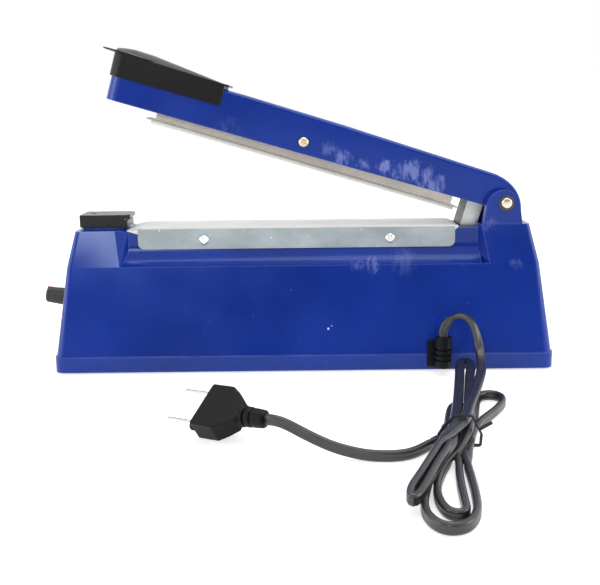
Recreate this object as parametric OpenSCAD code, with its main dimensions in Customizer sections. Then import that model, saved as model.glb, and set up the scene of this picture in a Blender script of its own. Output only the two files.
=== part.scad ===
// Hand impulse heat sealer, 200 mm seal, with its arm open.
// +X runs from the handle end to the hinge end, +Z is up, the ground is z = 0.

/* [Base] */
// Length of the platform that carries the heating strip
platform_l = 198; // [180:0.5:222]
// Length of the base over its rim
base_l = platform_l + 122; // [300:1:344]
// Width of the base over its rim
base_w = 80; // [72:1:95]
// Height of the straight rim at the foot of the walls
rim_h = 10; // [6:0.5:14]
// How far the rim stands out from the walls
rim_step = 1.2; // [0.6:0.1:2]
// How far the rim stands out from the end walls
end_step = 0.6; // [0.4:0.1:2]
// Height of the sloping walls from the rim to the crease
skirt_h = 56.5; // [48:0.5:62]
// Lean of the walls below the crease, in degrees
skirt_lean = 9; // [4:0.5:11]
// Lean of the end walls below the crease, in degrees
end_lean = 8.4; // [4:0.1:10]
// Lean of the tower walls above the crease, in degrees
tower_lean = 12.5; // [6:0.5:16]
// Lean of the towers' end walls above the crease, in degrees
tower_end_lean = 14; // [8:0.5:16]
// Thickness of the moulded walls
wall = 2.6; // [2:0.1:3.2]
// Radius of the upright corners at the rim
corner_r = 7; // [4:0.5:10]

/* [Towers] */
// Height of the front tower above the crease
tower_h = 22.5; // [20:0.5:26]
// How much higher the hinge tower is than the front tower
hinge_step = 2; // [0:0.5:4]
// Length of the front tower's top
front_tower_l = 27.9; // [25:0.1:32]
// Length of the hinge tower's top
hinge_tower_l = 30.9; // [28:0.1:32]
// Length of the slanted flank between the front tower and the middle
flank = 8; // [5:0.5:9]
// Radius of the cove that runs up from the crease
cove_r = 13; // [12:0.5:16]

/* [Hinge] */
// Height of the pivot above the hinge tower's top
pivot_rise = 13.2; // [11:0.1:16]
// Distance of the pivot from the end of the rim
pivot_inset = 30.5; // [28:0.5:34]
// Diameter of the pivot pin
pin_d = 5; // [4:0.1:6]
// Diameter of the pivot pin's heads
pin_head_d = 6.8; // [6.2:0.1:8]
// Outside diameter of the pivot washers
washer_d = 10; // [9:0.1:12]
// Radius of the top of the ears
ear_r = 10.7; // [9:0.1:12]
// Width of the ears at their foot
ear_w = 25; // [23:0.1:26]
// How far the middle of the ears lies from the pivot, towards the jaws
ear_off = 1.7; // [0:0.1:2.5]
// How far the middle of the ears' top arc lies under the pivot
ear_sink = 2.3; // [0:0.1:3]
// Angle at which the open arm rests
open_deg = 16.2; // [10:0.1:20]

/* [Arm] */
// Width of the arm
arm_w = 34; // [32:0.5:38]
// Wall of the arm
arm_wall = 2.4; // [2:0.1:3]
// Distance from the pivot to the arm's front end
arm_l = platform_l + 64.5; // [245:0.5:287]
// Depth of the arm below the pivot's axis
arm_drop = 5.4; // [4:0.1:6]
// Height of the arm's top over the axis at the front
arm_top_front = 20.3; // [18:0.5:24]
// Height of the arm's top over the axis near the hinge
arm_top_rear = 15.8; // [14:0.1:18]
// Plan radius of the arm's front corners
arm_corner_r = 10; // [4:0.5:12]

/* [Handle cover] */
// Length of the handle cover
cover_l = 71.5; // [60:0.5:90]
// Wall of the handle cover
cover_wall = 1.2; // [0.8:0.1:2]
// Height of the cover's lower edge over the axis
cover_low = 9.5; // [8:0.5:13]
// Height of the cover's side over the arm's top
cover_side = 3.9; // [2:0.1:5]
// Height of the crown over the cover's side
cover_crown = 4.8; // [2:0.1:7]
// How far the visor stands out in front
visor_l = 10.5; // [4:0.5:12]

/* [Jaws] */
// Width of the platform
platform_w = 40; // [36:0.5:42]
// Thickness of the platform
platform_t = 4.7; // [3.5:0.1:6]
// Thickness of the insulating strip, the heating strip and the release cloth
tape_t = 0.2; // [0.15:0.01:0.25]
// Width of the heating strip
heater_w = 2; // [2:0.5:5]
// Length of a clamp plate
clamp_l = platform_l + 5.7; // [186:0.1:228]
// Height of a clamp plate
clamp_h = 12.8; // [10:0.1:13]
// Thickness of a clamp plate
clamp_t = 1; // [0.8:0.1:1.5]
// Length of the pressing bar's channel
bar_l = platform_l; // [180:1:222]
// Length of the pressing bar's foot
bar_foot_l = platform_l + 11; // [190:1:233]
// Length of the silicone strip
silicone_l = platform_l + 6; // [180:1:228]
// Width of the silicone strip
silicone_w = 12; // [8:0.5:14]
// Thickness of the silicone strip
silicone_t = 2.1; // [1.8:0.1:4]

/* [Controls] */
// Length of the switch cap on the front tower
cap_l = 31; // [29:0.5:34]
// Width of the switch cap
cap_w = 25; // [22:0.5:27]
// Height of the switch cap
cap_h = 7.9; // [7:0.1:9]
// How far the switch cap travels
cap_travel = 0.8; // [0.6:0.1:1.2]
// Height of the timer knob's axis above the ground, at the wall
knob_z = 42.4; // [36:0.1:50]
// Length of the timer knob
knob_l = 14.5; // [12:0.5:18]
// Diameter of the timer knob at its tip
knob_tip_d = 10.4; // [9:0.1:12]
// Diameter of the timer knob at its foot
knob_foot_d = 11.9; // [10:0.1:14]

/* [Cord and plug] */
// Width of the flat twin cord
cord_w = 5.8; // [5:0.1:6.5]
// Thickness of the flat twin cord
cord_t = 3.6; // [3:0.1:4]
// Distance between the plug pins
plug_pin_gap = 19; // [18.6:0.1:19]
// Diameter of the plug pins
plug_pin_d = 4; // [4:0.1:4.8]
// Length of the plug pins
plug_pin_l = 19; // [17:0.5:19]

/* [Hidden] */

// clearances
fit = 0.05;      // radial running fit of a shaft in its hole
slip = 0.3;      // gap between pieces that move past each other
bite = 0.5;      // overlap that makes a cut run clear of a face
soft = 32;       // facets round a blended corner

// levels of the base, from the ground up
foot_h = 1;
rim_z = foot_h + rim_h;
crease_z = rim_z + skirt_h;
front_top_z = crease_z + tower_h;
hinge_top_z = front_top_z + hinge_step;
pivot_z = hinge_top_z + pivot_rise;

// stack of the lower jaw, measured down from the closed silicone strip
bar_drop = arm_drop + 6.2;              // underside of the pressing bar's foot
jaw_z = pivot_z - bar_drop - silicone_t - slip;
platform_z = jaw_z - 3 * tape_t;
seat_z = platform_z - platform_t;
clamp_top = platform_z - 0.3;
mid_top_z = front_top_z - 0.5;

// the timer knob sticks out in front, so the base sits half that far behind x = 0
tip_h = 0.8;                            // bevel round the knob's tip
knob_gap = 3.1;
end_lean_x = (knob_z - rim_z) * tan(end_lean);
knob_reach = (knob_l + knob_gap) * cos(end_lean) + (knob_tip_d / 2 - tip_h) * sin(end_lean)
             - end_step - end_lean_x;
base_x = knob_reach / 2;
front_x = base_x - base_l / 2;
hinge_x = base_x + base_l / 2;
pivot_x = hinge_x - pivot_inset;

// half lengths and widths of the walls at their levels
rim_half_l = base_l / 2 - end_step;
rim_half_w = base_w / 2 - rim_step;
crease_half_l = rim_half_l - skirt_h * tan(end_lean);
crease_half_w = rim_half_w - skirt_h * tan(skirt_lean);
front_in = tower_h * tan(tower_lean);
hinge_in = (tower_h + hinge_step) * tan(tower_lean);
front_end_in = tower_h * tan(tower_end_lean);
hinge_end_in = (tower_h + hinge_step) * tan(tower_end_lean);
crease_r = corner_r * 0.6;
tower_r = corner_r * 0.5;

// inner ends of the towers' tops; the edges of their front faces lean away below
front_tower_x = base_x - crease_half_l + front_end_in + front_tower_l;
hinge_tower_x = base_x + crease_half_l - hinge_end_in - hinge_tower_l;
front_face_x = [front_tower_x + 0.5, front_tower_x - 2.3];
hinge_face_x = [hinge_tower_x + 5, hinge_tower_x];
front_flank_x = front_face_x[1] + flank;
hinge_flank_x = hinge_tower_x - 1.5;

// the middle wall stands behind the clamp plates
clamp_y = platform_w / 2 + tape_t;
cove_lap = 2.6;                         // how far a clamp plate hangs over the cove
cove_ease = cove_r - sqrt(cove_r * cove_r - cove_lap * cove_lap);
mid_half_w = clamp_y - cove_ease - 0.04;
cove_deg = acos(1 - (crease_half_w - mid_half_w) / cove_r);
cove_z = crease_z + cove_r * sin(cove_deg);

// hinge ears and the slot for the spring bracket
ear_y = crease_half_w - hinge_in - 0.2;
ear_gap_y = arm_w / 2 + slip + 0.2;
pin_half_l = ear_y + 0.6;
bracket_w = 25;
bracket_t = 1.6;
bracket_s = 22;                         // front face of the bracket's web from the pivot
bracket_leg = 10.6;                     // width of the bracket's legs
bracket_foot = 50;                      // depth of the bracket's legs below the pivot
hook_s = bracket_s - 6;
hook_n = 3 - bracket_foot;
slot_roof = 2.5;
end_gap = 3.4;                          // room for the heating strip at each end
slot_y = bracket_w / 2 + 0.8;

// point of the open arm's frame, s towards the handle and n up, in the part's frame
function arm_point(s, n, a = open_deg) =
  [pivot_x - s * cos(a) + n * sin(a), 0, pivot_z + s * sin(a) + n * cos(a)];
// where the bracket's web stands at a height of the open arm's frame
function web_x(z) =
  let (n = (z - pivot_z - bracket_s * sin(open_deg)) / cos(open_deg))
  pivot_x - bracket_s * cos(open_deg) + n * sin(open_deg);
slot_x0 = web_x(mid_top_z - slot_roof) - slip / cos(open_deg);
slot_x1 = pivot_x - bracket_s + bracket_leg + 2.2;
block_x = slot_x0 - 2.2;                // front face of the block that holds the slot
platform_x = block_x - end_gap - platform_l / 2;
plate_gap = 0.9;                        // from a clamp plate's end to the block
clamp_x = block_x - plate_gap - clamp_l / 2;

// the arm's length stations and its outline
bar_s = pivot_x - platform_x + 1;       // pressing bar's screw from the pivot
bar_n = 1.9;
bar_tilt = 0.4;                         // slack tilt of the open pressing bar
bar_mid_s = bar_s - 4;                  // middle of the pressing bar's length
heel_s = 14;                            // where the arm's heel starts to fall
heel_reach = 12.5;                      // how far the heel reaches behind the pivot
heel_low = -4;
arm_rise_l = arm_l - 72.5;
cover_s0 = arm_l - cover_l;

// height of the arm's top over the pivot's axis: an elliptic heel, then a slow rise
function arm_top(s) =
  s < heel_s
  ? heel_low + (arm_top_rear - heel_low) * sqrt(max(0, 1 - pow((heel_s - s) / (heel_s + heel_reach), 2)))
  : arm_top_rear + (arm_top_front - arm_top_rear) * sin(90 * min(1, (s - heel_s) / arm_rise_l));

// half width of the arm, with its rounded front corners
function arm_half(s) =
  s < arm_l - arm_corner_r
  ? arm_w / 2
  : arm_w / 2 - arm_corner_r
    + sqrt(max(0, pow(arm_corner_r, 2) - pow(s - arm_l + arm_corner_r, 2)));

// ---------------------------------------------------------------- shared shapes

// rectangle with four round corners, centred
module round_rect(l, w, r) {
  square([l - 2 * r, w], center = true);
  square([l, w - 2 * r], center = true);
  for (x = [-1, 1], y = [-1, 1])
    translate([x * (l / 2 - r), y * (w / 2 - r)]) circle(r, $fn = soft);
}

// upright slab of a rounded rectangle, from z0 upwards
module plan_slab(l, w, r, z0, h) {
  translate([base_x, 0, z0]) linear_extrude(h) round_rect(l, w, r);
}

// cylinder along Y, centred
module rod_y(d, l) {
  rotate([90, 0, 0]) cylinder(d = d, h = l, center = true, $fn = 48);
}

// places children in the frame of the open arm: +X is s, +Z is n
module on_arm() {
  translate([pivot_x, 0, pivot_z]) rotate([0, open_deg, 0]) mirror([1, 0, 0]) children();
}

// places children in the pressing bar's frame, with its slack tilt about the screw
module on_bar() {
  on_arm() translate([bar_s, 0, bar_n]) rotate([0, -bar_tilt, 0])
    translate([-bar_s, 0, -bar_n]) children();
}

// pan head with a cross recess, head up, seated on z = 0
module pan_head(d, h) {
  difference() {
    rotate_extrude($fn = 36)
      polygon([[0, 0], [d / 2, 0], [d / 2, h * 0.45], [d * 0.36, h * 0.9], [0, h]]);
    for (a = [0, 90])
      rotate(a) translate([0, 0, h]) cube([d * 0.55, d * 0.13, h], center = true);
  }
}

// screw along -Z under a pan head
module screw(head_d, head_h, d, l) {
  pan_head(head_d, head_h);
  translate([0, 0, -l]) cylinder(d = d, h = l + bite / 5, $fn = 24);
}

// ---------------------------------------------------------------- housing

// one drafted block between two levels
module drafted(l0, w0, r0, z0, l1, w1, r1, z1) {
  skin = 0.01;
  hull() {
    plan_slab(l0, w0, r0, z0, skin);
    plan_slab(l1, w1, r1, z1 - skin, skin);
  }
}

// half section of the middle, from the crease up the cove
function cove_points(top) = concat(
  [[crease_half_w, crease_z - bite], [crease_half_w, crease_z]],
  [for (i = [0 : 8])
    let (a = cove_deg * (1 - i / 8))
    [mid_half_w + cove_r * (1 - cos(a)), cove_z - cove_r * sin(a)]],
  [[mid_half_w, top], [0, top], [0, crease_z - bite]]
);

// middle of the housing between two places along X
module middle(x0, x1, top) {
  for (side = [0, 1])
    mirror([0, side, 0]) translate([x0, 0, 0]) rotate([90, 0, 90])
      linear_extrude(x1 - x0) polygon(cove_points(top));
}

// plan of a tower: outer end at x0, front face to x1, slanted flanks to the middle at x2
module tower_plan(x0, x1, x2, half_w, r) {
  dir = x1 > x0 ? 1 : -1;
  translate([x0 + dir * r, half_w - r]) circle(r, $fn = soft);
  translate([x0 + dir * r, r - half_w]) circle(r, $fn = soft);
  polygon([
    [x0, half_w - r], [x0, r - half_w], [x0 + dir * r, -half_w], [x1, -half_w],
    [x2, -mid_half_w + bite], [x2, mid_half_w - bite],
    [x1, half_w], [x0 + dir * r, half_w]
  ]);
}

// tower between the crease and its top; ends and face give the places below and above
module tower(ends, face, flank_x, in, top) {
  skin = 0.01;
  hull() {
    translate([0, 0, crease_z - skin]) linear_extrude(skin)
      tower_plan(ends[0], face[0], flank_x, crease_half_w, crease_r);
    translate([0, 0, top - skin]) linear_extrude(skin)
      tower_plan(ends[1], face[1], flank_x, crease_half_w - in, tower_r);
  }
}

// side view of an ear, standing on the hinge tower
module ear_plan() {
  foot = hinge_top_z - pivot_z - bite + ear_sink;
  a = atan((ear_w / 2 - ear_r) / (pivot_rise - ear_sink));
  translate([-ear_off, -ear_sink]) {
    circle(ear_r, $fn = 96);
    polygon([
      [-ear_w / 2, foot], [ear_w / 2, foot],
      [ear_r * cos(a), ear_r * sin(a)], [-ear_r * cos(a), ear_r * sin(a)]
    ]);
  }
}

module ears() {
  for (side = [-1, 1])
    translate([pivot_x, side * (ear_y + ear_gap_y) / 2, pivot_z]) rotate([90, 0, 0])
      linear_extrude(ear_y - ear_gap_y, center = true) ear_plan();
}

neck_x0 = base_x - crease_half_l + front_end_in + 1.8;
neck_x1 = front_tower_x;
neck_half_w = cap_w / 2 - 1.2;
neck_h = 5.2;

// pedestal that guides the switch cap
module neck() {
  translate([(neck_x0 + neck_x1) / 2, 0, front_top_z - bite])
    linear_extrude(neck_h + bite) round_rect(neck_x1 - neck_x0, 2 * neck_half_w, 2);
}

// bottom plate, feet and their screws
bottom_z = 1.6;
bottom_t = 1.2;
foot_d = 16;
foot_screw_d = 3;
foot_head_d = 6;
foot_sink = 1;

// bosses inside the skirt that take the foot screws
foot_x = base_l / 2 - 28;
foot_y = rim_half_w - wall - foot_d / 2 - 2.2;
boss_h = 16;
boss_hole_d = foot_screw_d + 2 * fit;
foot_boss_d = boss_hole_d + 4;
module foot_bosses() {
  for (x = [-1, 1], y = [-1, 1])
    translate([base_x + x * foot_x, y * foot_y, bottom_z + bottom_t]) difference() {
      cylinder(d = foot_boss_d, h = boss_h, $fn = 36);
      translate([0, 0, -bite]) cylinder(d = boss_hole_d, h = boss_h - 2, $fn = 36);
    }
  // webs that tie the bosses to the long walls
  web_w = rim_half_w - wall - foot_y - foot_boss_d / 2 + bite;
  for (x = [-1, 1], y = [-1, 1])
    translate([base_x + x * foot_x, y * (rim_half_w - wall - web_w / 2), bottom_z + bottom_t + boss_h / 2])
      cube([wall, web_w, boss_h], center = true);
}

module housing_cavity() {
  // inside of the skirt
  drafted(2 * (rim_half_l - wall), 2 * (rim_half_w - wall), corner_r - wall / 2, -bite,
          2 * (crease_half_l - wall), 2 * (crease_half_w - wall), crease_r - wall / 2, crease_z - wall);
  // inside of the middle, under the platform's seat
  translate([front_tower_x - 4, wall - mid_half_w, crease_z - wall - bite])
    cube([block_x - front_tower_x + 4 + bite, 2 * (mid_half_w - wall), seat_z - crease_z + bite]);
  // inside of the front tower, up into the neck
  translate([neck_x0 + 2, 2 - neck_half_w, crease_z - wall - bite])
    cube([neck_x1 - neck_x0 - 4, 2 * neck_half_w - 4, front_top_z + neck_h - crease_z + wall + 2 * bite]);
  // inside of the hinge tower, under the slot's roof
  translate([block_x - bite, wall - mid_half_w, crease_z - wall - bite])
    cube([pivot_x + 4 - block_x, 2 * (mid_half_w - wall), mid_top_z - slot_roof - crease_z + wall + bite]);
  // slot for the spring bracket
  translate([slot_x0, -slot_y, crease_z])
    cube([slot_x1 - slot_x0, 2 * slot_y, hinge_top_z - crease_z + bite]);
  // slots at both ends of the platform, where the heating strip goes down
  for (side = [-1, 1])
    translate([platform_x + side * (platform_l / 2 + well_l / 2 - slip), 0, seat_z])
      cube([well_l, heater_w + 4, 2 * (wall + bite)], center = true);
  // the shoulder's slope goes through the flanks of the front tower
  translate([front_tower_x, 0, front_top_z]) rotate([90, 0, 0])
    linear_extrude(base_w, center = true)
      polygon([[0.3, 0], [shoulder_l, seat_z - front_top_z], [shoulder_l, bite], [0.3, bite]]);
  // room for the clamp plates beside the middle
  for (side = [0, 1])
    mirror([0, side, 0]) translate([clamp_x - clamp_l / 2 - slip, clamp_y, clamp_top - clamp_h])
      cube([clamp_l + 2 * slip, clamp_t + slip, clamp_h + platform_z]);
}

well_l = 2.6;

module housing() {
  color("royalblue") {
    difference() {
      union() {
        plan_slab(base_l, base_w, corner_r, foot_h, rim_h);
        drafted(2 * rim_half_l, 2 * rim_half_w, corner_r, rim_z - bite,
                2 * crease_half_l, 2 * crease_half_w, crease_r, crease_z);
        tower([base_x - crease_half_l, base_x - crease_half_l + front_end_in],
              front_face_x, front_flank_x, front_in, front_top_z);
        tower([base_x + crease_half_l, base_x + crease_half_l - hinge_end_in],
              hinge_face_x, hinge_flank_x, hinge_in, hinge_top_z);
        middle(front_tower_x, block_x + bite, seat_z);
        middle(block_x, hinge_tower_x, mid_top_z);
        // shoulder that slopes from the neck down to the platform
        translate([front_tower_x, mid_half_w, seat_z - bite]) rotate([90, 0, 0])
          linear_extrude(2 * mid_half_w)
            polygon([[-2, 0], [-2, front_top_z - seat_z + bite], [0.3, front_top_z - seat_z + bite],
                     [shoulder_l, bite], [shoulder_l, 0]]);
        neck();
        ears();
      }
      housing_cavity();
      translate([pivot_x, 0, pivot_z]) rod_y(pin_d + 2 * fit, 2 * ear_y + 4);
      // hole for the timer's shaft
      on_pot() translate([0, 0, -2 * wall]) cylinder(d = pot_bush_d + 2 * fit, h = 4 * wall, $fn = 48);
      // hole for the indicator lamp
      on_lamp() translate([0, 0, -2 * wall]) cylinder(d = lamp_d + 2 * fit, h = 4 * wall, $fn = 48);
      // window for the strain relief
      translate([relief_x - relief_neck / 2, -base_w / 2 - 1, relief_z - relief_neck / 2])
        cube([relief_neck, 3 * wall, relief_neck]);
      for (side = [-1, 1], x = clamp_screw_xs)
        translate([x, side * mid_half_w, clamp_screw_z]) rod_y(clamp_screw_d + 2 * fit, 2 * clamp_screw_l);
      translate([post_x, 0, post_z]) rod_y(post_d + 2 * fit, 2 * (mid_half_w - 1));
    }
    foot_bosses();
  }
}
shoulder_l = platform_x - platform_l / 2 - front_tower_x;

// ---------------------------------------------------------------- underside

module bottom_plate() {
  color("dimgray") difference() {
    plan_slab(2 * (rim_half_l - wall) - 1, 2 * (rim_half_w - wall) - 1, corner_r - wall / 2,
              bottom_z, bottom_t);
    for (x = [-1, 1], y = [-1, 1])
      translate([base_x + x * foot_x, y * foot_y, bottom_z - bite])
        cylinder(d = foot_screw_d + 2 * fit, h = bottom_t + 2 * bite, $fn = 36);
    for (x = [-1, 1], y = [-1, 1])
      translate([core_x + x * core_screw_x, y * core_screw_y, bottom_z - bite])
        cylinder(d = core_screw_d + 2 * fit, h = bottom_t + 2 * bite, $fn = 36);
  }
}

module rubber_feet() {
  color("black")
    for (x = [-1, 1], y = [-1, 1])
      translate([base_x + x * foot_x, y * foot_y, 0]) rotate_extrude($fn = 48)
        polygon([
          [foot_screw_d / 2 + fit, bottom_z], [foot_d / 2, bottom_z], [foot_d / 2, 0.6],
          [foot_d / 2 - 0.6, 0], [foot_head_d / 2 + 0.3, 0], [foot_head_d / 2 + 0.3, foot_sink],
          [foot_screw_d / 2 + fit, foot_sink]
        ]);
}

module foot_screws() {
  color("silver")
    for (x = [-1, 1], y = [-1, 1])
      translate([base_x + x * foot_x, y * foot_y, foot_sink]) {
        translate([0, 0, -0.6]) cylinder(d = foot_head_d, h = 0.6, $fn = 36);
        cylinder(d = foot_screw_d, h = bottom_z - foot_sink + bottom_t + 9, $fn = 36);
      }
}

// ---------------------------------------------------------------- lower jaw

platform_end = platform_l / 2;
clamp_screw_d = 3;
clamp_screw_l = clamp_t + wall + 2;
clamp_screw_z = seat_z - 2.6;
clamp_screw_xs = [base_x - 63.4, base_x + 56.1];

module platform() {
  color("silver") translate([platform_x, 0, seat_z]) difference() {
    translate([-platform_end, -platform_w / 2, 0]) cube([platform_l, platform_w, platform_t]);
    for (y = [-1, 1])
      translate([0, y * platform_w / 4, 0]) cube([platform_l - 20, platform_w / 4, 1.4], center = true);
  }
}

module insulation_strip() {
  color("wheat") translate([platform_x, 0, platform_z + tape_t / 2])
    cube([platform_l, heater_w * 5, tape_t], center = true);
}

strip_end = platform_end + 0.6;
strip_drop = platform_t + wall + 1.9;   // down through the seat to the terminals

module heating_strip() {
  color("lightgray") {
    translate([platform_x, 0, platform_z + tape_t * 1.5])
      cube([2 * strip_end, heater_w, tape_t], center = true);
    for (side = [-1, 1])
      translate([platform_x + side * strip_end, 0, platform_z + 2 * tape_t - strip_drop / 2])
        cube([tape_t, heater_w, strip_drop], center = true);
  }
}

terminal_l = 6;
terminal_w = 8;
terminal_t = 2;

// brass lugs screwed under the seat, which hold the ends of the heating strip
module strip_terminals() {
  color("goldenrod")
    for (side = [-1, 1])
      translate([platform_x + side * (strip_end - tape_t / 2 - fit), 0, seat_z - wall]) {
        translate([side > 0 ? -terminal_l : 0, -terminal_w / 2, -terminal_t])
          cube([terminal_l, terminal_w, terminal_t]);
        translate([-side * (terminal_l / 2 + 0.6), 0, -terminal_t]) rotate([180, 0, 0]) pan_head(4.5, 1.6);
      }
}

// side view of the cloth, from the wall of the neck to the block of the slot
module cloth_strip(y0, y1) {
  low = platform_z + 2 * tape_t;
  x0 = cap_x0 + cap_l + 0.8;
  x2 = platform_x - strip_end - 1;
  x1 = (x0 + x2) / 2;
  x3 = block_x + 1.4;
  translate([0, y1, 0]) rotate([90, 0, 0]) linear_extrude(y1 - y0)
    polygon([
      [x0, low - 1.7], [x1, low - 0.6], [x2, low], [x3 - 3, low], [x3, low - 0.5],
      [x3, low - 0.5 + tape_t], [x3 - 3, low + tape_t], [x2, low + tape_t],
      [x1, low - 0.6 + tape_t], [x0, low - 1.7 + tape_t]
    ]);
}

module release_cloth() {
  color("ivory") {
    cloth_strip(-platform_w / 2 - tape_t, platform_w / 2 + tape_t);
    for (side = [0, 1])
      mirror([0, side, 0]) translate([0, -platform_w / 2, 0]) rotate([90, 0, 0]) linear_extrude(tape_t)
        polygon([
          [platform_x - platform_end, platform_z + 2 * tape_t], [cap_x0 + cap_l + 0.8, platform_z - 1.2],
          [platform_x - platform_end, seat_z + slip], [clamp_x + clamp_l / 2 - 1, seat_z + 1],
          [block_x + 1.4, platform_z - 0.4], [block_x + 1.4, platform_z + 2 * tape_t - 0.4],
          [block_x - 1.6, platform_z + 2 * tape_t]
        ]);
  }
}

module clamp_plate() {
  r = 4;
  translate([clamp_x, -clamp_y, clamp_top]) rotate([90, 0, 0]) difference() {
    linear_extrude(clamp_t) {
      translate([-clamp_l / 2, -clamp_h + r]) square([clamp_l, clamp_h - r]);
      translate([r - clamp_l / 2, -clamp_h]) square([clamp_l - 2 * r, r + bite]);
      for (x = [r - clamp_l / 2, clamp_l / 2 - r]) translate([x, r - clamp_h]) circle(r, $fn = 48);
    }
    for (x = clamp_screw_xs)
      translate([x - clamp_x, clamp_screw_z - clamp_top, -bite])
        cylinder(d = clamp_screw_d + 2 * fit, h = clamp_t + 2 * bite, $fn = 36);
  }
}

module front_clamp_plate() {
  color("lightsteelblue") clamp_plate();
}

module rear_clamp_plate() {
  color("lightsteelblue") mirror([0, 1, 0]) clamp_plate();
}

module clamp_screws() {
  color("silver")
    for (side = [0, 1], x = clamp_screw_xs)
      mirror([0, side, 0]) translate([x, -clamp_y - clamp_t, clamp_screw_z]) rotate([90, 0, 0])
        screw(6, 1.6, clamp_screw_d, clamp_screw_l);
}

// ---------------------------------------------------------------- switch

cap_x0 = neck_x0 - 1.2;
cap_z = front_top_z + cap_travel + slip;
cap_top = cap_z + cap_h;
cap_roof_z = cap_z + neck_h + 0.2;       // inner roof of the cap, over the neck
lip_l = 1.6;

module switch_cap() {
  color("darkslategray") difference() {
    union() {
      translate([cap_x0 + cap_l / 2, 0, cap_z]) linear_extrude(cap_h) round_rect(cap_l, cap_w, 1.2);
      // upper lip over the slit
      translate([cap_x0 + (cap_l + lip_l) / 2, 0, cap_top - 2.4]) linear_extrude(2.4)
        round_rect(cap_l + lip_l, cap_w - 2, 2.5);
    }
    // hollow that rides on the neck
    translate([(neck_x0 + neck_x1) / 2, 0, cap_z - bite])
      linear_extrude(cap_roof_z - cap_z + bite)
        round_rect(neck_x1 - neck_x0 + 2 * slip, 2 * neck_half_w + 2 * slip, 2);
    // slit at the jaw end
    translate([cap_x0 + cap_l - 1.6, -cap_w / 2 - bite, cap_top - 3.8])
      cube([lip_l + 2, cap_w + 2 * bite, 1.4]);
    // small hole on top
    translate([cap_x0 + 7, 0, cap_top - 1]) cylinder(d = 4, h = 2, $fn = 36);
  }
}

switch_l = 20;
switch_w = 6.4;
switch_h = 10;
switch_x = (neck_x0 + neck_x1) / 2;
switch_top = front_top_z + 1.5;
plunger_d = 3;

module microswitch() {
  color("dimgray") translate([switch_x, 0, switch_top - switch_h]) difference() {
    union() {
      translate([-switch_l / 2, -switch_w / 2, 0]) cube([switch_l, switch_w, switch_h]);
      for (x = [-8, 0, 8]) translate([x, 0, -2.5]) cube([0.6, 3.2, 6], center = true);
      // ribs that hold it in the neck
      for (y = [-1, 1])
        translate([0, y * (switch_w / 2 + neck_half_w - 2) / 2, switch_h / 2])
          cube([6, neck_half_w - 2 - switch_w / 2, switch_h - 2], center = true);
    }
    translate([0, 0, switch_h - 4]) cylinder(d = plunger_d + 2 * fit, h = 5, $fn = 36);
    for (x = [-4.75, 4.75]) translate([x, 0, 3]) rod_y(2.6, 30);
  }
}

// plunger of the microswitch, which lifts the cap
module switch_plunger() {
  color("firebrick") translate([switch_x, 0, switch_top - 2.6])
    cylinder(d = plunger_d, h = cap_roof_z - switch_top + 2.6, $fn = 36);
}

// ---------------------------------------------------------------- arm

// one cross-section of the arm, at s from the pivot
module arm_section(s, half, low, top, r) {
  translate([s, 0, 0]) rotate([90, 0, 90]) linear_extrude(0.01)
    polygon(concat(
      [[-half, low], [half, low]],
      [for (a = [0 : 30 : 90]) [half - r + r * cos(a), top - r + r * sin(a)]],
      [for (a = [90 : 30 : 180]) [r - half + r * cos(a), top - r + r * sin(a)]]
    ));
}

heel_stations = [-12.3, -11.5, -10, -8, -5.5, -2.5, 1, 5, 9.5, 14];
arm_stations = concat(heel_stations, [for (u = [0.2 : 0.2 : 1]) heel_s + u * (arm_rise_l - 2 * heel_s)],
                      [for (a = [0 : 15 : 90]) arm_l - arm_corner_r * (1 - sin(a))]);

module arm_shell(inset) {
  hull()
    for (s = arm_stations) {
      t = arm_top(s);
      arm_section(min(max(s, inset - heel_reach), arm_l - inset), arm_half(s) - inset,
                  (inset > 0 ? -20 : 0) - min(arm_drop, arm_drop + t - 1), max(t - inset, 0.5 - arm_drop),
                  min(2.5, max(0.3, (t + arm_drop) / 3)));
    }
}

boss_d = 12;
bracket_roof = 9;                       // underside of the bracket's top plate above the axis
bracket_screw_s = [13, 29];
bracket_screw_d = 3;

module press_arm() {
  color("royalblue") on_arm() difference() {
    union() {
      difference() {
        arm_shell(0);
        arm_shell(arm_wall);
      }
      // bosses at the pivot and at the pressing bar's screw
      for (side = [-1, 1]) {
        translate([0, side * (arm_w / 2 - 2.1), 0]) rod_y(boss_d - 1.5, 4.2);
        translate([bar_s, side * (arm_w / 2 - 2.6), bar_n]) rod_y(9, 5.2);
      }
      // pillars for the bracket's screws
      for (s = bracket_screw_s)
        translate([s, 0, bracket_roof + bracket_t])
          cylinder(d = 7, h = arm_top(s) - bracket_roof - bracket_t - 1, $fn = 36);
    }
    rod_y(pin_d + 2 * fit, arm_w + 2);
    translate([bar_s, 0, bar_n]) rod_y(bar_screw_d + 2 * fit, arm_w + 2);
    for (s = bracket_screw_s)
      translate([s, 0, bracket_roof]) cylinder(d = bracket_screw_d + 2 * fit, h = 6, $fn = 36);
  }
}

// height of the cover's side over the pivot's axis, and of the crown over the side
function side_top(s) = arm_top_front + cover_side - 1.1 * (arm_l - s) / cover_l;
function crown(s) =
  let (u = (s - cover_s0) / cover_l)
  cover_crown * (u < 0.82 ? pow(sin(90 * u / 0.82), 2) : cos(290 * (u - 0.82)));

// cross-section of the cover, from its lower edge to a shallow crown
module cover_section(s, half, side, rise) {
  translate([s, 0, 0]) rotate([90, 0, 90]) linear_extrude(0.01)
    polygon(concat(
      [[-half, cover_low], [half, cover_low], [half, side - 0.8]],
      [for (y = [0.97 : -0.194 : -0.98]) [half * y, side + rise * (1 - y * y)]],
      [[-half, side - 0.8]]
    ));
}

cover_stations = concat([for (u = [0 : 0.2 : 0.8]) cover_s0 + u * (cover_l - arm_corner_r)],
                        [for (a = [0 : 15 : 90]) arm_l - arm_corner_r * (1 - sin(a))]);

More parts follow.
